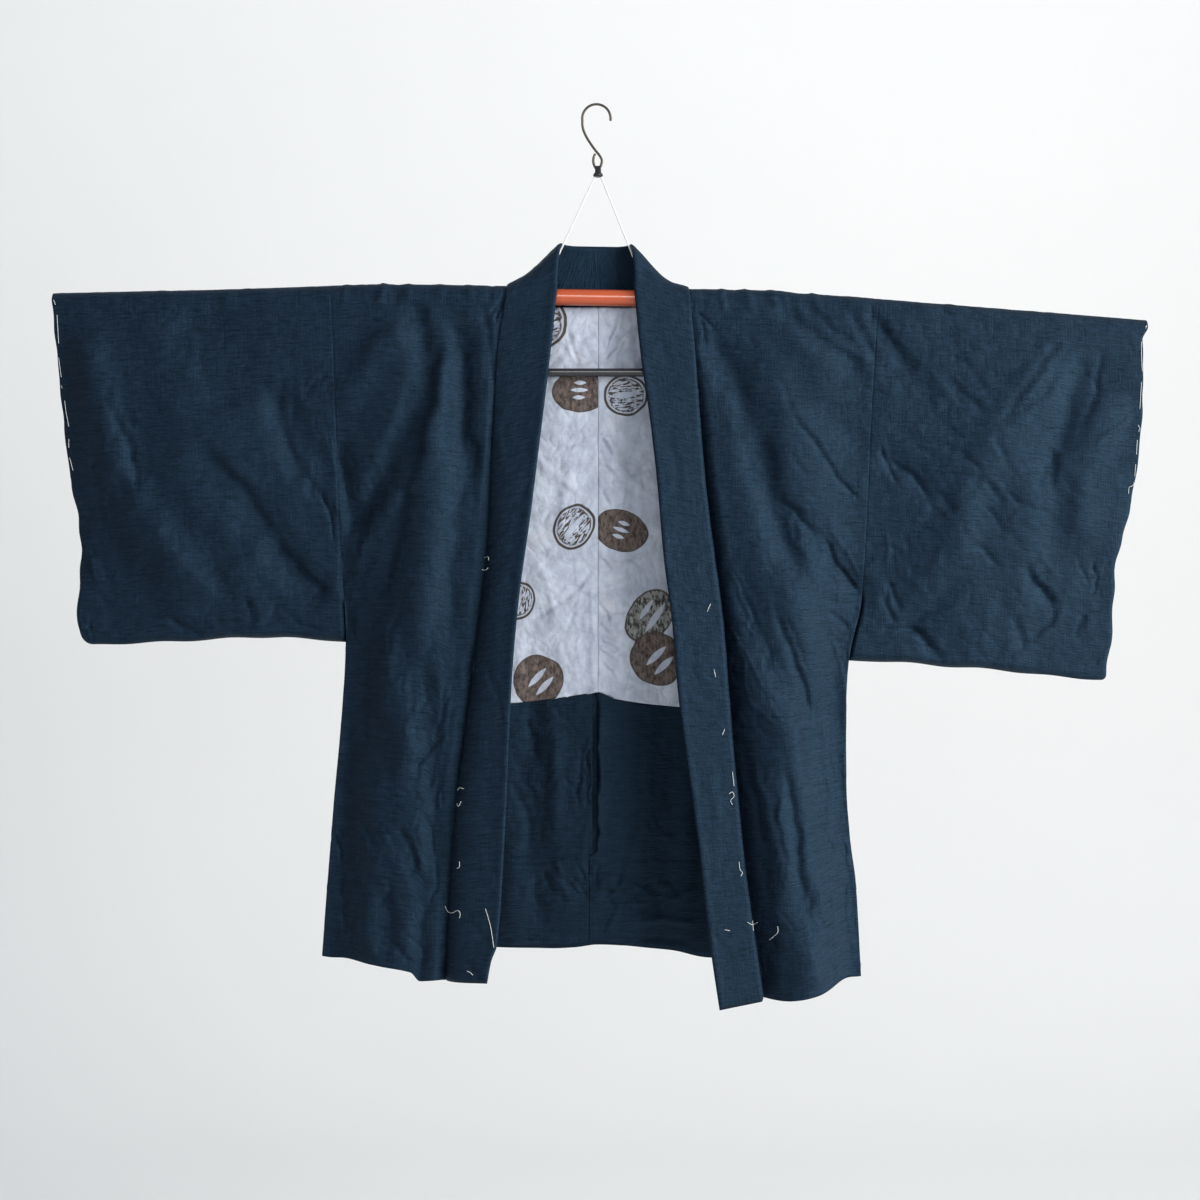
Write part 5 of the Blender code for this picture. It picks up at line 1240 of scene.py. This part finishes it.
class Value:
    """A number or colour on its way through a finish's nodes, usable in sums."""

    def __init__(self, finish, socket):
        self.finish, self.socket = finish, socket

    def __add__(self, other):
        return self.finish.math("ADD", self, other)

    def __sub__(self, other):
        return self.finish.math("SUBTRACT", self, other)

    def __rsub__(self, other):
        return self.finish.math("SUBTRACT", other, self)

    def __mul__(self, other):
        return self.finish.math("MULTIPLY", self, other)

    def __truediv__(self, other):
        return self.finish.math("DIVIDE", self, other)

    __radd__, __rmul__ = __add__, __mul__


def socket_name(word):
    return word.replace("_", " ").title().replace("Ior", "IOR")


class Finish:
    """A material whose nodes are added one call at a time."""

    def __init__(self, name, **constants):
        self.material = bpy.data.materials.new(name)
        self.material.use_nodes = True
        self.tree = self.material.node_tree
        self.shader = self.tree.nodes["Principled BSDF"]
        for socket, value in constants.items():
            self.shader.inputs[socket_name(socket)].default_value = value

    def node(self, kind, values=(), output=0, **settings):
        node = self.tree.nodes.new("ShaderNode" + kind)
        for setting, value in settings.items():
            setattr(node, setting, value)
        for key, value in values.items() if isinstance(values, dict) else enumerate(values):
            if isinstance(value, Value):
                self.tree.links.new(value.socket, node.inputs[key])
            else:
                node.inputs[key].default_value = value
        return Value(self, node.outputs[output])

    def feed(self, **values):
        for socket, value in values.items():
            self.tree.links.new(value.socket, self.shader.inputs[socket_name(socket)])
        return self.material

    def math(self, operation, *values, **settings):
        return self.node("Math", values, operation=operation, **settings)

    def place(self, output="UV"):
        return self.node("TexCoord", output=output)

    def noise(self, vector, scale, detail=2, rough=0.5, shift=()):
        """Cloudy noise, its scale and shift given in two or three directions."""
        stretched = self.node("Mapping", {0: vector, "Location": (*shift, 0, 0, 0)[:3],
                                          "Scale": (*scale, 1)[:3]})
        return self.node("TexNoise", {"Vector": stretched, "Scale": 1, "Detail": detail,
                                      "Roughness": rough})

    def ridged(self, vector, scale, shift):
        """Sharp wandering lines between smooth facets, 0 on the lines."""
        return self.math("ABSOLUTE", self.noise(vector, scale, 1.5, 0.45, shift) - 0.5)

    def step(self, value, low, high, bottom=0, top=1):
        return self.node("MapRange", {"Value": value, "From Min": low, "From Max": high,
                                      "To Min": bottom, "To Max": top},
                         interpolation_type="SMOOTHSTEP")

    def colour_mix(self, share, first, second, blend="MIX"):
        first, second = ((*c, 1) if isinstance(c, tuple) else c for c in (first, second))
        return self.node("Mix", {0: share, 6: first, 7: second}, 2,
                         data_type="RGBA", blend_type=blend)

    def shaded(self, colour, share):
        """The colour made lighter or darker by a number that varies over the surface."""
        return self.colour_mix(1, colour, self.node("CombineColor", (share,) * 3), "MULTIPLY")

    def bump(self, height, distance, strength=1):
        return self.node("Bump", {"Strength": strength, "Distance": distance, "Height": height})

    def length(self, vector):
        return self.node("VectorMath", (vector,), "Value", operation="LENGTH")


def outer_silk():
    """Dark blue plain weave with uneven weft threads, slubs, fine crumples and a low sheen."""
    f = Finish("outer_silk", specular_ior_level=0.36, specular_tint=SILK_SHEEN)
    cloth = f.place()
    weft = f.noise(cloth, (70, 640), 2, 0.65)
    band = f.noise(cloth, (22, 260), 2, 0.55, (3.1, 0.7))
    slub = f.step(f.noise(cloth, (34, 420), 1, 0.5, (7.7, 2.9)), 0.66, 0.76)
    warp = f.noise(cloth, (600, 34), 1, 0.5, (1.3, 5.1))
    grain = f.noise(cloth, (110, 240), 2, 0.6, (6.1, 9.9))
    cloud = f.noise(cloth, (5, 6), 3, 0.6, (9.4, 4.2))
    patch = f.step(f.noise(cloth, (4.5, 4), 1, 0.5, (5.2, 8.8)), 0.36, 0.66, 0.3, 1)
    tone = (3 * weft + 1.5 * band - 1.25) * (0.7 + 0.6 * warp) - 0.5 * slub
    colour = f.colour_mix(f.step(cloud, 0.3, 0.7), *SILK_BLUES)
    crumples = (f.ridged(cloth, (9, 7), (2.2, 6.1)) * 9
                + f.ridged(cloth, (24, 19), (4.4, 1.9)) * 5.5
                + f.ridged(cloth, (55, 46), (6.6, 3.7)) * 2.6)
    weave = 1.3 * weft + 0.5 * band + 0.4 * warp + 0.3 * slub + 0.5 * grain
    return f.feed(base_color=f.shaded(colour, tone), roughness=0.5 + 0.26 * weft,
                  normal=f.bump(crumples * patch + weave, 0.001))


def oval_place(f, cloth, ovals):
    """The place inside the nearest oval, 1 from its middle at its rim, and far from all of them."""
    place = FAR_FROM_OVALS
    for x, z, length, width, turn in ovals:
        local = f.node("Mapping", {
            0: cloth, "Location": (x * MM, z * MM, 0), "Scale": (length * MM, width * MM, 1),
            "Rotation": (0, 0, math.radians(turn))}, vector_type="TEXTURE")
        place = f.node("Mix", {0: f.step(f.length(local), 1.25, 1.24), 4: place, 5: local}, 1,
                       data_type="VECTOR")
    return place


def lens_slot(f, place, middle_x, middle_y, half_length, half_height):
    """A lens-shaped slot, 1 inside and 0 outside."""
    x, y = place
    along, off = (x - middle_x) / half_length, (y - middle_y) / half_height
    return f.step(along * along + f.math("ABSOLUTE", off), 1.12, 0.88)


def lining_silk():
    """Pale printed silk with sword-guard ovals in brown, in dark outline and mottled, with painted
    shade darkening its fine creases.
    """
    f = Finish("lining_silk", roughness=0.6, specular_ior_level=0.3)
    cloth = f.place()
    cloud = f.noise(cloth, (40, 32), 4, 0.66)
    vein = f.noise(cloth, (90, 80), 3, 0.65, (2, 7))
    weft = f.noise(cloth, (60, 700), 1, 0.5)
    warm = f.step(f.noise(cloth, (22, 26), 3, 0.6, (8, 1)), 0.56, 0.72)
    colour = f.colour_mix(f.step(cloud, 0.36, 0.64), *LINING_BLUES)
    colour = f.colour_mix(0.35 * warm, colour, LINING_STAIN)
    scratch = f.noise(cloth, (260, 110), 4, 0.7, (1, 3))
    wander = 0.26 * f.noise(cloth, (26, 26), 2, 0.6, (5, 5)) - 0.13
    brown = f.colour_mix(f.step(scratch, 0.34, 0.62), *PRINT_BROWNS)
    olive = f.colour_mix(f.step(scratch, 0.42, 0.56), *PRINT_OLIVES)

    def drawn(ovals):
        """The place in the ovals, its distance from their middles, x and y."""
        place = oval_place(f, cloth, ovals)
        return place, f.length(place) + wander, [
            f.node("SeparateXYZ", (place,), axis) for axis in ("X", "Y")]

    place, reach, spot = drawn(OUTLINED_OVALS)
    rim = f.step(reach, 0.86, 0.89) * f.step(reach, 1, 0.97)
    inner = 0.9 * f.step(reach, 0.72, 0.75) * f.step(reach, 0.83, 0.8) * f.step(scratch, 0.42, 0.5)
    strokes = f.noise(f.node("VectorMath", (place, cloth), operation="ADD"),
                      (2.4, 9), 2, 0.6, (4, 9))
    middle = (f.step(strokes, 0.5, 0.54) * f.step(reach, 0.8, 0.74)
              * (1 - lens_slot(f, spot, 0, 0, 0.7, 0.15)))
    lens = lens_slot(f, spot, 0, 0, 0.82, 0.27) - lens_slot(f, spot, 0.02, 0.03, 0.72, 0.17)
    ink = f.math("MAXIMUM", rim + inner, middle + lens * f.step(scratch, 0.5, 0.6), use_clamp=True)
    colour = f.colour_mix(ink, colour, PRINT_DARK)

    for ovals, face, slots, depth, rim_share, rim in (
            (MOTTLED_OVALS, olive, MOTTLED_SLOTS, 0.85, 0.9, (0.9, 0.94)),
            (TWO_SLOT_OVALS, brown, TWO_SLOTS, 1, 0.85, (0.92, 0.95)),
            (THREE_SLOT_OVALS, brown, THREE_SLOTS, 1, 0.85, (0.92, 0.95))):
        _, reach, spot = drawn(ovals)
        holes = lens_slot(f, spot, *slots[0])
        for sizes in slots[1:]:
            holes = holes + lens_slot(f, spot, *sizes)
        colour = f.colour_mix(f.step(reach, 1, 0.97) * (1 - depth * holes), colour, face)
        colour = f.colour_mix(rim_share * f.step(reach, *rim) * f.step(reach, 1, 0.97),
                              colour, PRINT_DARK)
    facets = f.ridged(cloth, (13, 10), (1.2, 4.1))
    folds = f.ridged(cloth, (27, 21), (5.2, 3.3))
    # The tone drops along the ridged lines that also shape the bump's facets and folds: painted
    # shade in the creases.
    tone = ((0.84 + 0.22 * vein + 0.1 * weft)
            * (0.83 + 0.12 * f.step(facets, 0, 0.024) + 0.08 * f.step(folds, 0, 0.03)))
    height = (facets * 5 + folds * 5 + f.ridged(cloth, (60, 46), (7.2, 2.1)) * 4.5
              + 0.2 * weft)
    return f.feed(base_color=f.shaded(colour, tone), normal=f.bump(height, 0.001))


def plain_finish(name, colour, **constants):
    f = Finish(name, **constants)
    grain = f.noise(f.place("Object"), (60, 60, 60), 3)
    fine = f.noise(f.place("Object"), (900, 900, 900), 1)
    return f.feed(base_color=f.shaded(f.colour_mix(0, colour, colour), 0.93 + 0.14 * grain),
                  normal=f.bump(fine, 0.00005, 0.3))


def cord_white():
    f = Finish("white_cord", roughness=0.75)
    strand = f.noise(f.place(), (900, 160), 2)
    return f.feed(base_color=f.shaded(f.colour_mix(0, *CORD_WHITES), 0.85 + 0.2 * strand),
                  normal=f.bump(strand, 0.0002, 0.5))


def stage_paint():
    f = Finish("stage_paint", roughness=0.9, specular_ior_level=0.2)
    mottle = f.noise(f.place("Object"), (1.3, 1.3, 1.3), 3)
    return f.feed(base_color=f.colour_mix(
        mottle, WALL_PAINT, tuple(WALL_SHADE * part for part in WALL_PAINT)))


# ---------------------------------------------------------------- stage, camera, lights

def gathered(name, pieces):
    group = bpy.data.collections.new(name)
    for piece in pieces:
        group.objects.link(piece)
    return group


def add_lamp(name, lit=(), shading=()):
    """A lamp that lights all, or only some pieces, and that all or only some can shade."""
    place, aim, (width, height), power, colour = LAMPS[name]
    lamp = bpy.data.lights.new(name, "AREA")
    lamp.shape, lamp.size, lamp.size_y = "RECTANGLE", width, height
    lamp.energy, lamp.color = power, colour
    light = bpy.data.objects.new(name, lamp)
    light.location = place
    light.rotation_euler = (Vector(aim) - Vector(place)).to_track_quat("-Z", "Y").to_euler()
    bpy.context.scene.collection.objects.link(light)
    if lit:
        light.light_linking.receiver_collection = gathered(name + "_lit", lit)
    if shading:
        light.light_linking.blocker_collection = gathered(name + "_blockers", shading)


def build_stage():
    scene = bpy.context.scene
    mesh = bmesh.new()
    sweep = np.linspace(0, math.pi / 2, SWEEP_STEPS + 1)[1:]
    profile = [(FLOOR_START, FLOOR_Z), (SWEEP_START, FLOOR_Z)]
    profile += [(SWEEP_START + SWEEP_RADIUS * math.sin(turn),
                 FLOOR_Z + SWEEP_RADIUS * (1 - math.cos(turn))) for turn in sweep]
    profile.append((SWEEP_START + SWEEP_RADIUS, WALL_TOP))
    line = [mesh.verts.new((-STAGE_HALF_WIDTH, y, z)) for y, z in profile]
    edges = [mesh.edges.new(pair) for pair in zip(line, line[1:])]
    swept = bmesh.ops.extrude_edge_only(mesh, edges=edges)
    bmesh.ops.translate(mesh, vec=(2 * STAGE_HALF_WIDTH, 0, 0),
                        verts=[v for v in swept["geom"] if isinstance(v, bmesh.types.BMVert)])
    backdrop = mesh_object("backdrop", closed(mesh))
    backdrop.data.materials.append(stage_paint())

    lens = bpy.data.cameras.new("camera")
    lens.lens, lens.sensor_width, lens.clip_end = LENS, SENSOR, CLIP_END
    camera = bpy.data.objects.new("camera", lens)
    camera.location = CAMERA_PLACE
    camera.rotation_euler = (math.pi / 2, 0, 0)
    scene.collection.objects.link(camera)
    scene.camera = camera

    for name in ("key", "fill", "wall_wash"):
        add_lamp(name)
    world = bpy.data.worlds.new("room")
    scene.world = world
    world.use_nodes = True
    glow = world.node_tree.nodes["Background"]
    glow.inputs["Color"].default_value = ROOM_COLOUR
    glow.inputs["Strength"].default_value = ROOM_GLOW
    scene.view_settings.view_transform = "Standard"


# ---------------------------------------------------------------- the garment

def build_body(side):
    points = body_points(side)
    shift = LEFT_BODY_SHIFT if side == "left" else 0
    piece = cloth_piece("body_" + side, points, points[..., 0] + shift, row_travel(points),
                        "outer_silk", ("front_" + side, "back_" + side), OUTER_WALL)
    return piece


def build_sleeve(side):
    points = sleeve_points(side)
    travel = row_travel(points)
    along = np.minimum(travel, travel[-1] - travel)
    shift, drop = SLEEVE_SHIFT
    piece = cloth_piece("sleeve_cloth_" + side, points, points[..., 0] + shift, along + drop,
                        "outer_silk", ("sleeve_" + side,), OUTER_WALL, SEAM_WELD)
    return piece


def build_collar():
    points, length, across, width = collar_points()
    over = np.concatenate((across * width, (2 * width - across * width)[:, -2::-1]), axis=1)
    piece = cloth_piece("collar_band", points, over + COLLAR_SHIFT, length,
                        "outer_silk", ("collar",), weld=SEAM_WELD)
    return piece


def build_gusset(side):
    points, across = gusset_points(side)
    piece = cloth_piece("gusset_cloth_" + side, points, across * GUSSET_WIDTH, points[..., 2],
                        "outer_silk", ("gusset_" + side,), OUTER_WALL)


def build_lining(side):
    points = lining_points(side)
    piece = cloth_piece("lining_" + side, points, points[..., 0] + LINING_SHIFT[side],
                        points[..., 2], "lining_silk", ("back_lining_" + side,), LINING_WALL)
    return piece


def build_facing(side):
    points = facing_points(side)
    piece = cloth_piece("facing_" + side, points, points[..., 0] + FACING_SHIFT,
                        points[..., 2], "outer_silk", ("back_facing_" + side,), LINING_WALL)


def lay_threads(cloths):
    """White basting stitches and loose ends, laid on the cloth that is seen behind them."""
    spots, faces = [], []
    for cloth in cloths:
        faces += [[corner + len(spots) for corner in face.vertices]
                  for face in cloth.data.polygons]
        spots += [vertex.co / MM for vertex in cloth.data.vertices]
    tree = BVHTree.FromPolygons(spots, faces)
    eye = Vector(CAMERA_PLACE) / MM
    mesh = bmesh.new()
    for places in THREADS:
        line = []
        for x, z in smooth_line(places, THREAD_STEPS):
            seen = Vector((x, SEEN_PLANE_Y, z))
            ahead = (seen - eye).normalized()
            spot = tree.ray_cast(eye, ahead)[0]
            if spot is None:
                spot = tree.find_nearest(seen)[0]
            line.append(spot - THREAD_LIFT * ahead)
        strand_mesh(line, THREAD_RADIUS, THREAD_SIDES, mesh)
    finished("basting_threads", mesh, "basting_thread")


def build_garment():
    seen = [build_collar()]
    linings = []
    for side in SIDES:
        seen += [build_body(side), build_sleeve(side)]
        build_gusset(side)
        linings.append(build_lining(side))
        build_facing(side)
    outer = [piece for piece in bpy.context.scene.objects
             if any(spot.material == FINISHES["outer_silk"] for spot in piece.material_slots)]
    add_lamp("side", outer)
    add_lamp("rear", outer)
    add_lamp("inner", linings, linings)
    lay_threads(seen)


# ---------------------------------------------------------------- the hanger

def tube_centre_z(x):
    return TUBE_CENTRE_Z - TUBE_FALL * x


def dress_solid(name, slot):
    """Gives a solid of the part its finish."""
    for spot in frame["nodes"][name].material_slots:
        spot.material = FINISHES[slot]


def build_rods():
    line = np.linspace(*((x, 0, tube_centre_z(x)) for x in TUBE_END.values()), TUBE_STEPS)
    tube = finished("tube", strand_mesh(line, TUBE_RADIUS, TUBE_SIDES), "orange_plastic",
                    ("hanger_tube",))
    line = np.linspace((-BAR_HALF_LENGTH, 0, BAR_Z), (BAR_HALF_LENGTH, 0, BAR_Z), BAR_STEPS)
    bar = finished("bar", strand_mesh(line, BAR_RADIUS, BAR_SIDES), "black_plastic",
                   ("hanger_bar",))
    add_lamp("strip", (tube, bar))


def build_cord(side):
    """Three strands twisted together, from the clip's waist to the top of the tube."""
    foot_x = CORD_FOOT_X[side]
    top = np.array((SIDES[side] * CORD_TOP_X, 0, CLIP_TOP_Z - CORD_TOP_DEPTH))
    foot = np.array((foot_x, 0, tube_centre_z(foot_x) + TUBE_RADIUS + CORD_FOOT_RISE))
    share = np.linspace(0, 1, CORD_STEPS)[:, None]
    across = unit(np.cross(foot - top, Y_AXIS))
    mesh = bmesh.new()
    for strand in range(CORD_STRANDS):
        turn = 2 * math.pi * (share * CORD_TWISTS + strand / CORD_STRANDS)
        twist = across * np.cos(turn) + np.array(Y_AXIS) * np.sin(turn)
        strand_mesh(mix(top, foot, share) + STRAND_OFFSET * twist, STRAND_RADIUS,
                    STRAND_SIDES, mesh)
    finished("cord_" + side, mesh, "white_cord", ("hanger_cord_" + side,))


def build_clip():
    mesh = bmesh.new()
    spots = [mesh.verts.new((radius * MM, 0, (CLIP_TOP_Z - drop) * MM))
             for drop, radius in CLIP_PROFILE]
    edges = [mesh.edges.new(pair) for pair in zip(spots, spots[1:])]
    bmesh.ops.spin(mesh, geom=spots + edges, cent=(0, 0, 0), axis=(0, 0, 1),
                   angle=2 * math.pi, steps=CLIP_SIDES, use_merge=True)
    finished("clip", closed(mesh, CLIP_WELD), "black_plastic", ("hanger_clip",))


def build_hook():
    centre_x = HOOK_SHANK[0][0] + CROWN_RADIUS * math.cos(CROWN_OVERRUN)
    centre_z = WIRE_RADIUS - CROWN_RADIUS
    turn = np.linspace(-CROWN_OVERRUN, math.pi + CROWN_OVERRUN, CROWN_STEPS)
    crown = joined(centre_x + CROWN_RADIUS * np.cos(turn), 0,
                   centre_z + CROWN_RADIUS * np.sin(turn))
    line = np.vstack((crown[:-1], smooth_line([crown[-1], *HOOK_SHANK], SHANK_STEPS)))
    finished("wire_hook", strand_mesh(line, WIRE_RADIUS, WIRE_SIDES), "dark_steel",
             ("hanger_hook",))


FINISHES = {
    "outer_silk": outer_silk(),
    "lining_silk": lining_silk(),
    "white_cord": cord_white(),
    "orange_plastic": plain_finish("orange_plastic", ORANGE, roughness=0.26, coat_weight=0.15),
    "black_plastic": plain_finish("black_plastic", BLACK, roughness=0.2),
    "dark_steel": plain_finish("dark_steel", STEEL, roughness=0.36, metallic=0.85),
}
FINISHES["basting_thread"] = FINISHES["white_cord"]
build_stage()
build_garment()
build_rods()
for wearer_side in SIDES:
    build_cord(wearer_side)
    dress_solid("hanger_arm_" + wearer_side, "orange_plastic")
    dress_solid("bar_bracket_" + wearer_side, "black_plastic")
build_clip()
build_hook()
